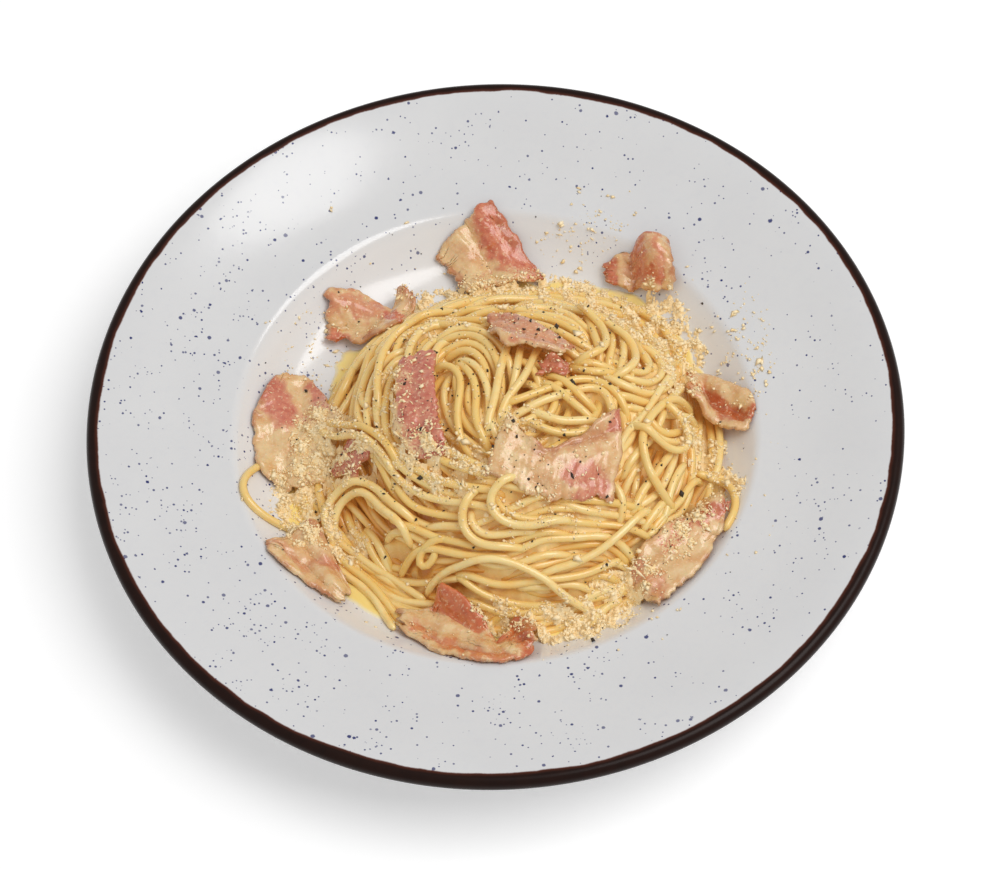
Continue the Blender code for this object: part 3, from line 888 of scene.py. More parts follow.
# Slices as in the CAD: each station holds the points of the ribbon's left edge, middle and right
# edge as (x, y, lift over what lies beneath).
BACON = {
    "bacon_back": (
        ((-19, 75, 1), (-9, 84, 2), (2, 92, 1.5)), ((-14, 69, 1.5), (-1, 74, 4), (11, 80, 3.5)),
        ((-9, 60, 2), (5, 60, 3), (21, 64, 1.5)),
    ),
    "bacon_back_right": (
        ((41, 61, 1), (40, 65, 1.5), (39, 68, 1)), ((49, 57, 1), (49, 63, 1), (48, 69, 1)),
        ((56, 53, 2), (56, 63, 7), (55, 71, 4)), ((65, 50, 1), (65, 58, 4), (63, 70, 1.5)),
    ),
    "bacon_left_back": (
        ((-57, 43, 1), (-58, 52, 2), (-58, 62, 1)), ((-46, 41, 2.5), (-46, 52, 3), (-45, 63, 1.5)),
        ((-34, 42, 3), (-36, 50, 3), (-36, 57, 1.5)), ((-27, 49, 1.5), (-30, 53, 2.5), (-33, 56, 2.5)),
        ((-25, 59, 6), (-28, 61, 8), (-31, 63, 7)),
    ),
    "bacon_left": (
        ((-74, 29, 1), (-68, 31, 1.5), (-62, 29, 1)), ((-81, 15, 1.5), (-69, 19, 4), (-56, 19, 2)),
        ((-82, 1, 1.5), (-67, 4, 4), (-51, 5, 1.5)), ((-79, -10, 1), (-68, -8, 3), (-53, -7, 1.5)),
        ((-71, -15, 1), (-65, -16, 1.5), (-58, -14, 1)),
    ),
    "bacon_crown": (
        ((0, 22, 2), (-1, 27, 2), (-1, 32, 1)), ((3, 14, 5.5), (6, 22, 4), (9, 30, 1.5)),
        ((14, 10, 6), (16, 17, 4.5), (18, 23, 1.5)), ((24, 9, 4.5), (26, 12, 3.5), (28, 14, 2)),
    ),
    "bacon_crown_under": (((14, 3, 1), (14, 6, 1), (14, 10, 1)), ((25, 2, 1), (26, 5, 1), (26, 8, 1))),
    "bacon_top_left": (
        ((-31, 15, 3), (-25, 17, 3), (-18, 18, 1)), ((-33, 3, 3.5), (-26, 2, 4.5), (-18, 0, 2)),
        ((-33, -12, 2.5), (-25, -12, 4), (-17, -12, 3)),
        ((-27, -22, 1.5), (-21, -24, 2.5), (-15, -24, 2)),
    ),
    "bacon_top_front": (
        ((4, -11, 1), (17, -23, 2.5), (41, -9, 4)), ((0, -20, 2), (16, -30, 3), (41, -22, 3)),
        ((-5, -32, 2.5), (14, -41, 2), (38, -40, 1.5)),
    ),
    "bacon_right": (
        ((64, 8, 2), (65, 14, 2.5), (66, 21, 1.5)), ((69, 1, 3.5), (73, 10, 4), (77, 18, 2)),
        ((77, -4, 2), (82, 2, 2.5), (86, 9, 1)), ((84, -6, 1), (86, -3, 1), (88, 1, 1)),
    ),
    "bacon_right_front": (
        ((76, -33, 1), (73, -30, 4), (70, -28, 2)), ((72, -45, 1), (67, -40, 6.5), (62, -36, 3)),
        ((64, -58, 1), (57, -51, 7), (51, -44, 3)), ((54, -66, 1), (48, -60, 5.5), (42, -54, 2)),
        ((50, -70, 1), (47, -66, 2), (44, -62, 1)),
    ),
    "bacon_front": (
        ((-36, -68, 1), (-35, -66, 1.5), (-35, -63, 1)), ((-27, -78, 1), (-25, -70, 2), (-23, -62, 1)),
        ((-18, -84, 1), (-18, -73, 3), (-19, -58, 5)), ((-9, -87, 1), (-9, -79, 4), (-8, -67, 7)),
        ((-2, -88, 1), (-2, -83, 2.5), (-3, -77, 2)), ((4, -87, 1), (4, -78, 4), (3, -68, 3)),
        ((9, -83, 1), (10, -77, 4), (9, -71, 2)),
    ),
    "bacon_left_front": (
        ((-77, -43, 1), (-77, -41, 1), (-76, -40, 1)), ((-71, -49, 1), (-70, -42, 3.5), (-69, -34, 1)),
        ((-64, -55, 1.5), (-63, -42, 2), (-61, -28, 4)), ((-57, -59, 1), (-57, -50, 5), (-56, -41, 2)),
        ((-52, -61, 1), (-51, -58, 2), (-49, -55, 1)),
    ),
    "bacon_left_tucked": (
        ((-56, -12, 1), (-52, -8, 1.5), (-48, -5, 1)), ((-52, -17, 1), (-48, -12, 2), (-44, -6, 1)),
        ((-46, -22, 1), (-43, -18, 1.5), (-40, -12, 1)),
    ),
}
# How each slice looks: its share of lean, then strokes (what, half width, strength, points).
PAINT = {
    "bacon_back": (
        0.14, ("lean", 6, 1, ((1, 87), (3, 79), (8, 73), (14, 67))),
        ("lean", 5, 1, ((5, 82), (10, 75), (17, 67))), ("lean", 4, 0.35, ((-5, 74), (-10, 76))),
        ("lean", 2.5, 0.55, ((-2, 65), (1, 68))), ("brown", 1.6, 0.8, ((-17, 74), (-14, 71), (-9, 64))),
        ("brown", 2.6, 0.85, ((2, 91), (8, 80), (13, 75), (21, 65))),
        ("cheese", 3, 0.7, ((-6, 65), (4, 65), (14, 64))),
    ),
    "bacon_back_right": (
        0.2, ("lean", 4, 0.85, ((42, 66), (45, 63), (44, 59))),
        ("lean", 5, 0.8, ((55, 68), (56, 62), (57, 57))), ("brown", 1.4, 1, ((40, 67), (41, 62))),
        ("brown", 2, 1, ((50, 68), (50, 62), (51, 56))),
        ("brown", 3, 0.9, ((59, 71), (63, 70), (64, 65), (65, 57))),
        # The narrow fat stroke down the hump's crest, from (56, 68) to (57, 60), is a painted highlight.
        ("fat", 4, 1, ((54, 53), (60, 50), (63, 52))), ("fat", 1.8, 0.5, ((56, 68), (57, 60))),
        ("fat", 1.4, 0.6, ((46, 66), (47, 60))),
    ),
    "bacon_left_back": (
        0.25, ("lean", 4, 0.55, ((-56, 57), (-54, 54))),
        ("lean", 5, 0.6, ((-49, 58), (-44, 54), (-40, 55))), ("lean", 3, 0.9, ((-36, 51), (-31, 47))),
        ("lean", 3, 0.8, ((-55, 46), (-51, 43))), ("fat", 3.2, 1, ((-57, 50), (-49, 50), (-39, 46))),
        ("brown", 1.6, 1, ((-57, 43), (-52, 42), (-48, 41))),
        ("brown", 2, 0.9, ((-43, 42), (-38, 41), (-34, 42))),
        ("brown", 2.4, 0.9, ((-31, 63), (-27, 60), (-26, 56))),
    ),
    "bacon_left": (
        0.1, ("lean", 6.5, 0.85, ((-77, 23), (-75, 18), (-71, 12))),
        ("fat", 3, 0.9, ((-68, 29), (-68, 26), (-66, 19))),
        ("lean", 4, 0.8, ((-61, 23), (-56, 14), (-62, 11))),
        ("brown", 2, 0.9, ((-77, 26), (-81, 16), (-82, 8))), ("brown", 2.4, 0.5, ((-64, 29), (-62, 26))),
        ("cheese", 9, 1, ((-60, 8), (-58, -2), (-60, -10))), ("cheese", 6, 0.5, ((-70, -6), (-66, -12))),
    ),
    "bacon_crown": (
        0.55, ("fat", 2.4, 1, ((1, 19), (4, 13), (13, 9), (25, 8))),
        ("brown", 2.4, 0.9, ((-1, 28), (-1, 23), (1, 18))),
        ("brown", 2, 0.9, ((4, 27), (9, 26), (12, 28))),
    ),
    "bacon_crown_under": (0.95, ("brown", 6, 0.7, ((12, 6), (26, 5)))),
    "bacon_top_left": (
        0.95, ("fat", 2.4, 0.9, ((-32, 12), (-33, -2), (-32, -12), (-28, -21))),
        ("cheese", 2.5, 0.8, ((-28, 5), (-28, 6))), ("cheese", 3, 0.8, ((-31, -14), (-26, -21))),
    ),
    "bacon_top_front": (
        0.3, ("fat", 8, 0.8, ((4, -18), (3, -28), (0, -32))),
        ("lean", 5, 0.75, ((24, -33), (30, -33), (33, -37), (27, -42))),
        ("lean", 2.5, 0.8, ((38, -17), (40, -13))), ("fat", 2.6, 1, ((37, -23), (39, -30), (38, -36))),
        ("brown", 2.6, 0.8, ((14, -24), (22, -23), (34, -19))),
        ("brown", 1.5, 0.5, ((19, -27), (21, -29))),
        ("cheese", 3.5, 0.6, ((3, -34), (8, -37), (14, -40))),
    ),
    "bacon_right": (
        0.25, ("lean", 4, 0.6, ((64, 18), (65, 13), (67, 8))),
        ("lean", 5, 0.9, ((71, 11), (77, 4), (84, 0))), ("fat", 3, 0.9, ((76, 14), (83, 9), (86, 5))),
        ("fat", 2.4, 0.9, ((72, -1), (78, -4), (84, -5))),
        ("brown", 4.2, 1, ((72, 10), (76, 5), (81, 1), (85, 0))), ("cheese", 3, 0.7, ((69, 12), (69, 7))),
    ),
    "bacon_right_front": (
        0.15, ("lean", 3, 0.8, ((74, -35), (67, -39), (60, -42), (53, -49))),
        ("lean", 4, 0.5, ((45, -56), (49, -59), (51, -64))),
        ("brown", 1.8, 0.8, ((75, -34), (68, -37), (60, -41))),
        ("brown", 1.5, 0.6, ((43, -56), (44, -55))),
        ("cheese", 2.6, 0.9, ((64, -38), (58, -44), (53, -49))),
    ),
    "bacon_front": (
        0.15, ("lean", 2.2, 0.6, ((-30, -69), (-24, -75), (-15, -82), (-5, -86), (4, -87))),
        ("fat", 3.6, 1, ((-24, -66), (-15, -73), (-6, -79))),
        ("lean", 4.5, 1, ((-20, -60), (-15, -65), (-9, -70))), ("lean", 3, 0.7, ((-3, -77), (2, -77))),
        ("lean", 3, 0.9, ((3, -70), (6, -77), (7, -84))),
        ("brown", 3, 0.8, ((4, -69), (7, -76), (8, -84))), ("brown", 3.4, 0.45, ((-14, -62), (-9, -68))),
        ("brown", 2, 0.5, ((-16, -80), (-6, -84), (2, -86))),
    ),
    "bacon_left_front": (
        0.3, ("lean", 4, 0.5, ((-74, -42), (-69, -45), (-65, -49))),
        ("lean", 3, 0.6, ((-59, -45), (-56, -47))), ("fat", 2, 1, ((-59, -50), (-56, -54), (-52, -59))),
        ("fat", 1.8, 0.8, ((-75, -43), (-70, -49), (-66, -53))),
        ("brown", 1.8, 0.9, ((-64, -31), (-61, -32), (-59, -35))),
        ("brown", 1.5, 0.6, ((-63, -47), (-62, -46))), ("cheese", 3, 0.9, ((-63, -37), (-62, -38))),
    ),
    "bacon_left_tucked": (
        0.85, ("brown", 5, 0.4, ((-52, -8), (-44, -18))), ("cheese", 1.5, 0.8, ((-52, -15), (-46, -20))),
    ),
}
# Folds of each slice: lift, half width, points.
FOLDS = {
    "bacon_back": (
        (1.6, 3.5, ((-2, 86), (5, 74), (12, 66))), (-1.4, 2, ((-6, 83), (-1, 74), (3, 64))),
        (1.2, 4, ((-10, 80), (-8, 71), (-3, 63))),
    ),
    "bacon_back_right": (
        (3.6, 4.6, ((57, 73), (58, 65), (58, 56))), (-2.6, 2.2, ((51, 72), (51, 66), (52, 60))),
        (2.2, 3.4, ((45, 67), (45, 62), (46, 59))),
    ),
    "bacon_left_back": (
        (1.8, 2.6, ((-56, 45), (-50, 43), (-41, 43), (-36, 46))),
        (-1.3, 2, ((-57, 50), (-49, 49), (-40, 47))), (1.5, 3, ((-54, 57), (-46, 56), (-38, 53))),
        (1.6, 2, ((-29, 60), (-31, 54), (-33, 48))),
    ),
    "bacon_left": (
        (1.6, 4, ((-77, 24), (-74, 12), (-70, 2))), (-1.2, 3, ((-67, 24), (-65, 12))),
        (1.2, 4, ((-60, 20), (-58, 8), (-60, -6))),
    ),
    "bacon_crown": (
        (1.5, 1.8, ((1, 19), (8, 14), (20, 10))), (-1, 1.6, ((2, 22), (10, 19), (20, 14))),
        (1.3, 1.6, ((0, 29), (8, 27), (15, 22))),
    ),
    "bacon_crown_under": ((0.8, 1.5, ((14, 7), (26, 6))),),
    "bacon_top_left": (
        (1, 2.5, ((-29, 14), (-31, 0), (-28, -18))), (-0.7, 2, ((-25, 14), (-26, 0), (-23, -18))),
        (0.9, 2.5, ((-20, 14), (-20, 0), (-18, -18))),
    ),
    "bacon_top_front": (
        (2, 2, ((12, -22), (20, -20), (30, -16), (39, -12))),
        (-1.5, 1.8, ((16, -26), (26, -22), (36, -18))), (1.2, 3.5, ((24, -34), (34, -28))),
        (1.4, 3, ((0, -27), (5, -16))), (-1, 2, ((6, -30), (12, -34), (16, -38))),
    ),
    "bacon_right": (
        (1.4, 2.2, ((66, 19), (74, 15), (84, 7))), (-1.8, 2.6, ((70, 12), (77, 5), (84, 1))),
        (1.4, 2.2, ((68, 7), (75, 0), (82, -4))),
    ),
    "bacon_right_front": (
        (1.8, 2.4, ((73, -32), (62, -41), (50, -51), (45, -55))),
        (-1.2, 2.5, ((70, -41), (60, -50), (52, -57))),
    ),
    "bacon_front": (
        (2.4, 3, ((-20, -59), (-14, -64), (-9, -69))), (-1.8, 2, ((-21, -65), (-14, -70), (-8, -74))),
        (1.4, 2.4, ((-30, -71), (-20, -76), (-8, -81), (4, -82))), (2, 2, ((5, -67), (8, -73), (8, -80))),
        (-1.4, 1.8, ((1, -70), (3, -76))),
    ),
    "bacon_left_front": (
        (1.4, 2.4, ((-75, -38), (-66, -42), (-57, -50), (-52, -57))),
        (-1.3, 1.8, ((-71, -43), (-63, -48), (-58, -54))), (1.6, 2, ((-63, -32), (-62, -40))),
    ),
    "bacon_left_tucked": ((0.8, 2, ((-52, -10), (-44, -18))),),
}
# How pink rather than orange the lean of each slice is.
PINK = {
    "bacon_back": 0.45, "bacon_back_right": 0.45, "bacon_left_back": 0.4, "bacon_left": 0.75,
    "bacon_crown": 0.6, "bacon_crown_under": 0.3, "bacon_top_left": 0.85, "bacon_top_front": 0.65,
    "bacon_right": 0, "bacon_right_front": 0.45, "bacon_front": 0, "bacon_left_front": 0.6,
    "bacon_left_tucked": 0.8,
}


def paint(name, x, y):
    """Shares of lean, browning and cheese over a slice."""
    base, *strokes = PAINT[name]
    seed = len(name) * 7
    warp_x = x + 0.6 * waves(x, y, 5.0, seed) + 0.15 * waves(x, y, 1.5, seed + 1)
    warp_y = y + 0.6 * waves(x, y, 5.0, seed + 2) + 0.15 * waves(x, y, 1.5, seed + 3)
    shares = {"lean": np.full(x.shape, base), "brown": np.zeros(x.shape), "cheese": np.zeros(x.shape)}
    for what, reach, strength, points in strokes:
        away = from_stroke(warp_x, warp_y, points)
        mark = strength * (1 - smoothstep(0.35 * reach, 1.35 * reach, away))
        if what == "fat":
            shares["lean"] *= 1 - mark
        else:
            shares[what] = np.maximum(shares[what], mark)
    return shares


def bites(along, size, seed, fine_seed):
    """Depths in millimetres by which the two edges of a slice are pulled in, at places along them."""
    level = np.zeros(along.shape)
    coarse = [0.5 * waves(along, level + 9 * k, size, seed + k) for k in range(2)]
    fine = [0.18 * waves(along, level, 2.4, fine_seed + k) for k in range(2)]
    return [0.75 + coarse[k] + fine[k] for k in range(2)]


def closed_sheet(upper, lower):
    """Points and faces of a sheet between two grids of points."""
    rows, columns = upper.shape[:2]
    top = quads(rows, columns)
    if np.cross(np.diff(upper, axis=0)[:, :-1], np.diff(upper, axis=1)[:-1])[..., 2].sum() > 0:
        top = top[:, ::-1]
    across, down = np.arange(columns - 1), np.arange(rows - 1)
    last_row, last_column = (rows - 1) * columns, columns - 1
    border = np.concatenate(
        [across, down * columns + last_column, last_row + across[::-1] + 1, (down[::-1] + 1) * columns]
    )
    following, count = np.roll(border, -1), rows * columns
    rim = np.stack([border, following, following + count, border + count], axis=1)
    points = np.concatenate([upper.reshape(-1, 3), lower.reshape(-1, 3)])
    return points, np.concatenate([top, top[:, ::-1] + count, rim])


def bacon_slice(name, heap, finish):
    """One slice as a closed sheet with an uneven outline, laid on the strands beneath it."""
    stations = np.array(BACON[name], float)
    seed = sum(map(ord, name))
    length = np.linalg.norm(np.diff(stations[:, 1, :2], axis=0), axis=1).sum()
    width = np.linalg.norm(stations[:, 2, :2] - stations[:, 0, :2], axis=1).max()
    rows, columns = int(length / BACON_STEP) + 2, int(width / BACON_STEP) + 2
    u, v = np.meshgrid(np.linspace(0, 1, rows), np.linspace(0, 1, columns), indexing="ij")
    # Uneven edges: the ribbon's own u and v are pulled in by a millimetre here and there.
    nick = bites(u * length, 8.0, seed, seed)
    notch = bites(v * width, 7.0, seed + 5, seed)
    low, high = 1.0 / width * nick[0], 1 - 1.0 / width * nick[1]
    start, end = 1.0 / length * notch[0], 1 - 1.0 / length * notch[1]
    round_off = 0.8 / width * np.clip(1 - np.minimum(u, 1 - u) * length / 2.0, 0, 1) ** 2
    own_v = low + round_off + (high - low - 2 * round_off) * v
    own_u = start + (end - start) * u
    lines = np.stack([across_spline(station, own_v) for station in stations])
    x, y, lift = np.moveaxis(across_spline(lines, own_u), -1, 0)
    # Laid down: it follows the smooth heap, keeps clear of the strands, and then gets its folds.
    ripple = 0.3 * waves(x, y, 12.0, seed + 9) + 0.06 * waves(x, y, 4.0, seed + 10)
    floor = sample(heap.top, x, y) + CLEARANCE
    z = np.maximum(beneath(x, y) + lift + ripple, floor)
    for _ in range(SETTLING):
        z = np.maximum(soften(z), floor)
    for rise, reach, points in FOLDS[name]:
        z = z + rise * np.exp(-((from_stroke(x, y, points) / reach) ** 2))
    z = np.maximum(z, floor)
    for _ in range(FOLD_EASING):
        z = soften(z)
    # Thick fat, thinner lean, rounded edges, and a fine grain on the upper side.
    shares = paint(name, x, y)
    side = np.minimum(np.minimum(u, 1 - u) * length, np.minimum(v, 1 - v) * width)
    plump = 1 - 0.25 * shares["lean"] + 0.03 * waves(x, y, 6.0, seed + 11)
    rounded = 0.35 + 0.65 * np.sqrt(1 - (1 - np.clip(side / 1.4, 0, 1)) ** 2)
    grain = 0.012 * shares["lean"] * waves(x, y, 1.5, seed + 12, 24)
    grain += 0.05 * waves(x, y, 4.5, seed + 13, 20)
    grain += shares["cheese"] * (0.15 + 0.08 * waves(x, y, 1.5, seed + 14, 30))
    lower = np.stack([x, y, z], axis=-1)
    normal = np.cross(np.gradient(lower, axis=0), np.gradient(lower, axis=1))
    normal /= np.linalg.norm(normal, axis=-1, keepdims=True)
    normal *= np.where(normal[..., 2:] < 0, -1, 1)
    thickness = BACON_THICKNESS * plump * rounded + grain * np.clip(side, 0, 1)
    upper = lower + normal * thickness[..., None]
    heap.stamp_sheet(upper.reshape(-1, 3))
    # Crisp edges brown first.
    here_and_there = smoothstep(-0.8, 0.8, waves(x, y, 8.0, seed + 15))
    crisp = (1 - smoothstep(0.2, 1.5, side)) * here_and_there * BROWN_EDGE
    shares["brown"] = np.maximum(shares["brown"], crisp)
    shares.update(along=own_u * length, across=own_v * width, pink=np.full(x.shape, PINK[name]))
    both_sides = {key: np.tile(values.ravel(), 2) for key, values in shares.items()}
    points, faces = closed_sheet(upper, lower)
    add_piece(name + "_slice", points, faces, finish, "bacon", replaces=[name], **both_sides)


def bacon_finish():
    made = Finish(
        "fried_bacon", Roughness=0.35, IOR=1.45, Coat_Weight=0.9, Coat_Roughness=0.10,
        Subsurface_Weight=0.2, Subsurface_Scale=0.0006, Subsurface_Radius=(1.0, 0.45, 0.25),
        # Emission is a faint painted glow that lifts the bacon's shade.
        Emission_Strength=0.02, Emission_Color=painted_glow(255, 170, 110),
    )
    along, across = made.attribute("along") * 0.16, made.attribute("across") * 0.9
    fibre = made.noise_at(made.node("ShaderNodeCombineXYZ", X=along, Y=across).outputs[0], 4.0)
    lean_share = made.ramp(made.attribute("lean") + (fibre - 0.5) * 0.5, 0.12, 0.85)
    orange = made.mix(made.ramp(made.noise(2.6, 4.0), 0.3, 0.7), srgb(196, 88, 42), srgb(215, 121, 68))
    pink = made.mix(made.ramp(made.noise(2.6, 4.0), 0.3, 0.7), srgb(186, 94, 78), srgb(212, 138, 114))
    lean = made.mix(made.attribute("pink"), orange, pink)
    lean = made.mix(made.ramp(fibre, 0.55, 0.8) * 0.5, lean, srgb(226, 170, 132))
    fat = made.mix(made.ramp(made.noise(4.0, 3.0), 0.35, 0.7), srgb(228, 196, 144), srgb(216, 166, 108))
    meat = made.mix(lean_share, fat, lean)
    crisp = made.mix(made.noise(1.8, 4.0), srgb(190, 96, 42), srgb(148, 66, 30))
    scorched = made.range(made.ramp(made.noise(2.2, 4.0), 0.3, 0.7), 0.4, 1.0)
    meat = made.mix(made.attribute("brown") * scorched, meat, crisp)
    # Pale flecks of fat and cheese stuck to the surface.
    meat = made.mix(made.ramp(made.noise(1.1, 3.0), 0.56, 0.66) * 0.55, meat, srgb(238, 206, 166))
    cheese = made.attribute("cheese") * made.ramp(made.noise(0.9, 3.0), 0.38, 0.56)
    made.set(Base_Color=made.mix(cheese, meat, srgb(238, 210, 156)))
    made.set(Roughness=made.range(made.ramp(made.noise(2.4, 4.0), 0.35, 0.7), 0.22, 0.45))
    made.bump(made.noise(1.1, 5.0) * 0.8 + fibre * 0.5, 0.26, 0.9)
    return made.material


def make_bacon(heap):
    finish = bacon_finish()
    for name in BACON:
        bacon_slice(name, heap, finish)


# ---------------------------------------------------------------- sauce, cheese and pepper
# Pools of sauce on the plate: centre, half sizes, turn in degrees.
POOLS = (
    (-42, 30, 20, 12, 52), (-47, -55, 15, 9, -42), (-34, -64, 12, 6, -35), (58, 30, 12, 16, 20),
    (52, 46, 16, 9, -50), (20, -70, 22, 5, 4), (-62, -22, 14, 12, 30),
)
POOL_EDGE = 6.0  # a pool deepens from its outline inwards, up to half of this distance
POOL_SWELL = 1.5  # how deep it would be at the whole of it
POOL_CLIMB = 2.5  # how high the sauce clings to the wall of the well
# Heaps of grated cheese: centre, half sizes, turn in degrees, amount.
CHEESE = (
    (-58, 0, 11, 16, 8, 1), (-66, -12, 10, 7, 0, 0.8), (-62, -30, 10, 11, 20, 1),
    (-67, -21, 9, 8, 0, 1.1), (-46, -14, 10, 9, 0, 0.7), (-50, -38, 9, 8, 0, 0.6),
    (-18, -25, 17, 11, -24, 1), (-34, 2, 8, 16, 0, 0.3), (0, 58, 30, 7, -3, 0.9), (34, 55, 22, 8, -28, 1),
    (52, 38, 14, 12, -45, 1), (60, 46, 11, 7, 126, 0.9), (67, 33, 9, 6, 116, 0.7),
    (62, 16, 8, 14, 0, 0.7), (18, 40, 26, 7, -12, 0.4), (-20, 30, 14, 7, 20, 0.4),
    (68, -12, 9, 9, 0, 0.9), (76, -24, 6, 9, 0, 0.6), (62, -42, 14, 6, 55, 0.7),
    (22, -71, 20, 7, 5, 1.15), (40, -60, 13, 7, 20, 0.8), (-4, -68, 8, 5, 0, 0.7), (8, -14, 8, 6, 0, 0.5),
    (10, -44, 26, 7, 0, 0.22), (36, 10, 20, 14, 0, 0.12), (5, -2, 62, 58, 0, 0.05),
    (86, 22, 9, 24, -8, 0.1), (34, 78, 18, 7, 0, 0.1), (-52, 40, 26, 18, 40, 0.05),
    (10, 0, 84, 84, 0, 0.012),
)
# Pepper over the same kind of patches.
PEPPER = (
    (2, 2, 44, 40, 0, 0.5), (6, -18, 10, 9, 0, 1), (-14, 30, 26, 12, 0, 0.5), (16, 22, 14, 8, 0, 0.8),
    (-24, -20, 20, 20, 0, 0.7), (-50, -10, 20, 34, 0, 0.35), (30, -40, 34, 24, 0, 0.35),
    (0, 0, 84, 84, 0, 0.06),
)
# Larger peppercorn pieces, each lying by itself: place and half size.
CORNS = (
    (-25, -28, 0.9), (-27, -39, 0.7), (-38, -44, 0.7), (28, -80, 0.8), (60, -31, 0.9), (50, 10, 0.6),
    (48, -31, 0.6), (34, -56, 0.8), (-64, 23, 0.8), (-9, -51, 0.7), (26, 0, 0.8), (22, 24, 0.9),
    (16, 20, 0.7), (11, 20, 0.6), (6, -16, 0.8), (7, -21, 0.8), (-1, -24, 0.6), (24, -34, 0.8),
    (35, -39, 0.8), (-29, 3, 0.7), (-24, -14, 0.7), (-6, 34, 0.7), (-16, 40, 0.6), (40, 36, 0.6),
)
# Larger flakes of cheese on the rim and wall: place and half size.
FLAKES = (
    (83, 40, 1.3), (76, 36, 1), (87, 34, 1), (91, 19, 1.6), (92, 11, 1.2), (72, 29, 1.1), (79, 24, 0.9),
    (33, 93, 1), (27, 82, 1.3), (44, 90, 0.9), (37, 79, 0.8), (-54, 89, 0.8), (-27, 84, 0.8), (26, 72, 1),
    (32, 68, 1.2), (90, 24, 0.8), (88, 16, 0.9), (84, 30, 0.8), (40, 84, 0.8), (52, 82, 0.7),
    (30, 88, 0.7), (94, 15, 0.9), (86, 6, 0.7), (80, 33, 0.7), (-76, 46, 0.6), (-84, -24, 0.6),
    (56, -72, 0.7), (48, -74, 0.6),
)
# Grated cheese, of each kind: how many in a batch, middle size, spread of sizes, shape, tilt.
GRATINGS = (
    (1700, 0.30, 0.45, (1.0, 0.9, 0.75), 3.0),
    (380, 0.56, 0.40, (1.1, 0.8, 0.4), 1.2),
    (70, 0.60, 0.30, (2.2, 0.45, 0.4), 0.9),
)
BATCHES = 6
DARTS = 20000  # random places tried at a time
DARTS_HALF = (96.0, 92.0)
LIFT = 0.3  # how high a grain's middle lies over what it rests on, as a share of its half size
FLAKE_LIFT = 0.3  # the same for the larger flakes, in millimetres
PEPPER_COUNT = 650


def cheese_amount(x, y):
    clumps = np.clip(0.75 + 0.5 * waves(x, y, 6.0, 31), 0, 1.4)
    return patches(CHEESE, x, y) * clumps


def pool_finish():
    made = Finish(
        "egg_sauce", Roughness=0.1, IOR=1.4, Coat_Weight=0.5, Coat_Roughness=0.06,
        Subsurface_Weight=0.15, Subsurface_Scale=0.0006, Subsurface_Radius=(1.0, 0.7, 0.3),
    )
    deep = made.mix(made.noise(7.0, 3.0), srgb(252, 228, 148), srgb(248, 216, 124))
    made.set(Base_Color=made.mix(made.ramp(made.attribute("depth"), 0.1, 1.0), srgb(244, 232, 202), deep))
    made.bump(made.noise(2.5, 3.0), 0.2, 0.5)
    return made.material


def make_pools():
    """Thin yellow sauce on the plate round the foot of the heap. Returns the level with it."""
    angle, reach = from_heap_centre(GRID_X, GRID_Y)
    inside = (skirt_radius(angle) + 0.5 - reach) / POOL_EDGE
    for pool in POOLS:
        share = 1 - ellipse_reach(GRID_X, GRID_Y, *pool)
        inside = np.maximum(inside, share * min(pool[2:4]) / POOL_EDGE)
    inside += 0.2 * waves(GRID_X, GRID_Y, 11.0, 41) + 0.05 * waves(GRID_X, GRID_Y, 5.0, 42)
    thickness = POOL_SWELL * np.sqrt(np.clip(inside, 0, 0.5))
    bed = np.minimum(PLATE_GRID, FLOOR_TOP + POOL_CLIMB)
    level = bed + blur(np.where(inside > 0, thickness, -0.4), 0.6)
    hidden = reach < skirt_radius(angle) - 14
    points, faces, used = patch(level, (level - PLATE_GRID > -0.4) & ~hidden)
    depth = (level - PLATE_GRID).ravel()[used]
    add_piece("sauce_pool", points, faces, pool_finish(), "sauce", depth=depth)
    return np.where(hidden, PLATE_GRID, np.maximum(level, PLATE_GRID))


def cheese_finish():
    made = Finish(
        "grated_cheese", Roughness=0.5, IOR=1.45,
        # Emission is a faint painted glow that lifts the cheese's shade.
        Emission_Strength=0.06, Emission_Color=painted_glow(255, 214, 140),
    )
    pale = made.mix(made.ramp(made.noise(1.8, 3.0), 0.35, 0.7), srgb(253, 236, 198), srgb(247, 218, 162))
    made.set(Base_Color=pale)
    made.bump(made.noise(0.6, 4.0), 0.06, 0.6)
    return made.material


def make_blanket(heap, amount):
    """Cheese too fine to tell apart, as a grainy layer that strands show through."""
    grain = waves(GRID_X, GRID_Y, 1.5, 51, 40) + 0.9 * waves(GRID_X, GRID_Y, 3.0, 52, 30)
    # Between strands it lies below their tops; where the amount is full it covers them.
    piled = np.clip(amount, 0, 1.1)
    level = blur(heap.top, 1.3) - 2.2 + 2.6 * piled + 0.34 * grain
    on_plate = heap.top < PLATE_GRID + 1.0
    level = np.where(on_plate, heap.top - 0.6 + 1.6 * piled + 0.3 * grain, level)
    keep = (amount > 0.25) & (level > heap.top - 1.6)
    keep = blur(keep.astype(float), 0.8) > 0.35
    points, faces, _ = patch(level, keep)
    add_piece("cheese_layer", points, faces, cheese_finish(), "cheese")
    heap.top[:] = np.where(keep, np.maximum(heap.top, level), heap.top)


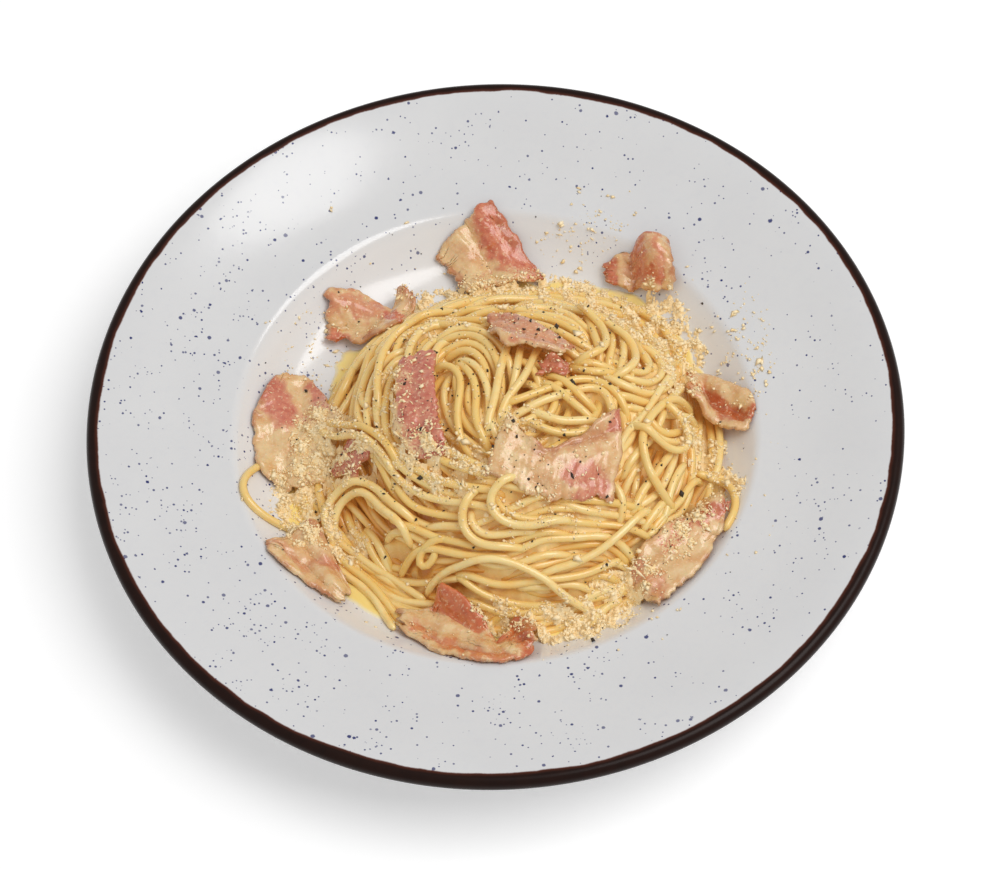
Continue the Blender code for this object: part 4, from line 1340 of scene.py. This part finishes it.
def lumps(heap, spots, sizes, height, roughness, shape=(1.0, 1.0, 1.0), tilt=3.0):
    """Points and faces of many small uneven eight-sided grains at a height over the heap."""
    corners = np.array([(1, 0, 0), (-1, 0, 0), (0, 1, 0), (0, -1, 0), (0, 0, 1), (0, 0, -1)], float)
    upper = [(0, 2, 4), (2, 1, 4), (1, 3, 4), (3, 0, 4)]
    lower = [(2, 0, 5), (1, 2, 5), (3, 1, 5), (0, 3, 5)]
    count = len(spots)
    grains = corners[None] * rng.uniform(1 - roughness, 1 + roughness, (count, 6, 1))
    grains += rng.normal(0, 0.2, (count, 6, 3))
    grains *= rng.uniform(0.65, 1.3, (count, 1, 3)) * np.array(shape)
    spin = rng.uniform(*ANY_ANGLE, count)
    lean = rng.normal(0, tilt / 3, count)
    around = rng.uniform(*ANY_ANGLE, count)
    for angle, i, j in ((spin, 0, 1), (lean, 1, 2), (around, 0, 1)):
        c, s = np.cos(angle)[:, None], np.sin(angle)[:, None]
        a, b = grains[..., i].copy(), grains[..., j].copy()
        grains[..., i], grains[..., j] = c * a - s * b, s * a + c * b
    z = sample(heap.top, *spots.T) + height
    points = grains * sizes[:, None, None] + np.column_stack([spots, z])[:, None, :]
    faces = np.array(upper + lower)[None] + len(corners) * np.arange(count)[:, None, None]
    return points.reshape(-1, 3), faces.reshape(-1, 3), z


def scatter(count, amount):
    """Random places, more of them where the amount is larger."""
    found = []
    while sum(map(len, found)) < count:
        x, y = (rng.uniform(-half, half, DARTS) for half in DARTS_HALF)
        take = rng.uniform(0, 1, DARTS) < amount(x, y)
        found.append(np.stack([x[take], y[take]], axis=1))
    return np.concatenate(found)[:count]


def make_crumbs(heap):
    """Loose flakes, grains and short shreds of grated cheese."""
    joined = Joined()
    for _ in range(BATCHES):
        for count, middle, spread, shape, tilt in GRATINGS:
            spots = scatter(count, cheese_amount)
            sizes = np.clip(rng.lognormal(math.log(middle), spread, count), 0.16, 1.5)
            points, faces, z = lumps(heap, spots, sizes, sizes * LIFT, 0.3, shape, tilt)
            joined.add(points, faces)
            i, j = (grid_place(spots) + 0.5).astype(int).T
            np.maximum.at(heap.top, (i, j), z + sizes * LIFT)
    flakes = np.array(FLAKES)
    for _ in range(2):
        spots = flakes[:, :2] + rng.uniform(-1.0, 1.0, (len(flakes), 2))
        points, faces, _ = lumps(heap, spots, flakes[:, 2], FLAKE_LIFT, 0.35, (1.0, 0.7, 0.4), 0.5)
        joined.add(points, faces)
    add_piece("cheese_crumbs", joined.points(), joined.faces, cheese_finish(), "cheese")


def make_pepper(heap):
    """Ground pepper, and larger pieces of peppercorn."""
    spots = scatter(PEPPER_COUNT, lambda x, y: patches(PEPPER, x, y))
    sizes = np.clip(rng.lognormal(-1.45, 0.45, len(spots)), 0.1, 0.6)
    corns = np.array(CORNS, float)
    spots = np.concatenate([spots, corns[:, :2]])
    sizes = np.concatenate([sizes, corns[:, 2]])
    points, faces, _ = lumps(heap, spots, sizes, sizes * LIFT, 0.35)
    made = Finish("black_pepper", Roughness=0.55)
    made.set(Base_Color=made.mix(made.noise(0.4, 3.0), srgb(26, 20, 16), srgb(74, 56, 42)))
    made.bump(made.noise(0.3, 3.0), 0.1, 0.8)
    add_piece("pepper", points, faces, made.material, "pepper")


# ---------------------------------------------------------------- stage
FLOOR_HALF_M = 3.0
SOFTBOX_POWER = 10.2
SOFTBOX_SIZE = (900, 950)
SOFTBOX_PLACE = Vector((645, -110, 1300))
WORLD_STRENGTH = 0.58
WHITE = (1.0, 1.0, 1.0, 1.0)


def add_object(name, data):
    made = bpy.data.objects.new(name, data)
    bpy.context.scene.collection.objects.link(made)
    return made


def matrix_of(axes, place):
    """World matrix of an object with those axes, at a place in millimetres."""
    return Matrix.Translation(place * MM) @ Matrix(axes).transposed().to_4x4()


def make_softbox():
    """One large light, aimed at the heap."""
    light = bpy.data.lights.new("softbox", "AREA")
    light.shape = "RECTANGLE"
    light.size, light.size_y = SOFTBOX_SIZE[0] * MM, SOFTBOX_SIZE[1] * MM
    light.energy = SOFTBOX_POWER
    back = (SOFTBOX_PLACE - Vector((0, 0, 20))).normalized()
    across = back.cross(Vector((0, 1, 0))).normalized()
    add_object("softbox", light).matrix_world = matrix_of((across.cross(back), across, back), SOFTBOX_PLACE)


def make_stage():
    floor = bpy.data.meshes.new("floor")
    size = FLOOR_HALF_M
    corners = [(-size, -size, 0), (size, -size, 0), (size, size, 0), (-size, size, 0)]
    floor.from_pydata(corners, [], [(0, 1, 2, 3)])
    finish = Finish("pale_floor", Roughness=0.6, Emission_Color=WHITE, Emission_Strength=0.2)
    finish.set(Base_Color=finish.mix(finish.noise(60.0, 2.0), (0.93, 0.93, 0.93), (0.96, 0.96, 0.96)))
    floor.materials.append(finish.material)
    add_object("floor", floor)
    world = bpy.data.worlds.new("studio")
    world.use_nodes = True
    background = world.node_tree.nodes["Background"].inputs
    background["Color"].default_value = WHITE
    background["Strength"].default_value = WORLD_STRENGTH
    bpy.context.scene.world = world
    bpy.context.scene.view_settings.view_transform = "Standard"
    make_softbox()


def make_camera():
    """Camera at the photograph's height, turned a little about its own axis."""
    elevation, roll, distance = math.radians(59.5), math.radians(-2.78), 852.2
    target = Vector((1.5, -11.3, 34.0))
    back = Vector((0, -math.cos(elevation), math.sin(elevation)))
    right = Vector((1, 0, 0))
    up = back.cross(right)
    turned_right = right * math.cos(roll) + up * math.sin(roll)
    turned_up = up * math.cos(roll) - right * math.sin(roll)
    lens = bpy.data.cameras.new("camera")
    lens.sensor_width = 36.0
    lens.lens = 93.6
    lens.clip_start, lens.clip_end = 0.05, 20.0
    camera = add_object("camera", lens)
    camera.matrix_world = matrix_of((turned_right, turned_up, back), target + back * distance)
    bpy.context.scene.camera = camera


make_camera()
make_stage()
make_plate()
heap = make_heap()
make_core(heap)
make_bacon(heap)
for route in LATE_ROUTES:
    heap.lay_bundle(*route)
amount = cheese_amount(GRID_X, GRID_Y)
make_strands(heap, np.clip(amount, 0, 1))
heap.top[:] = np.maximum(heap.top, make_pools())
make_blanket(heap, amount)
make_crumbs(heap)
make_pepper(heap)
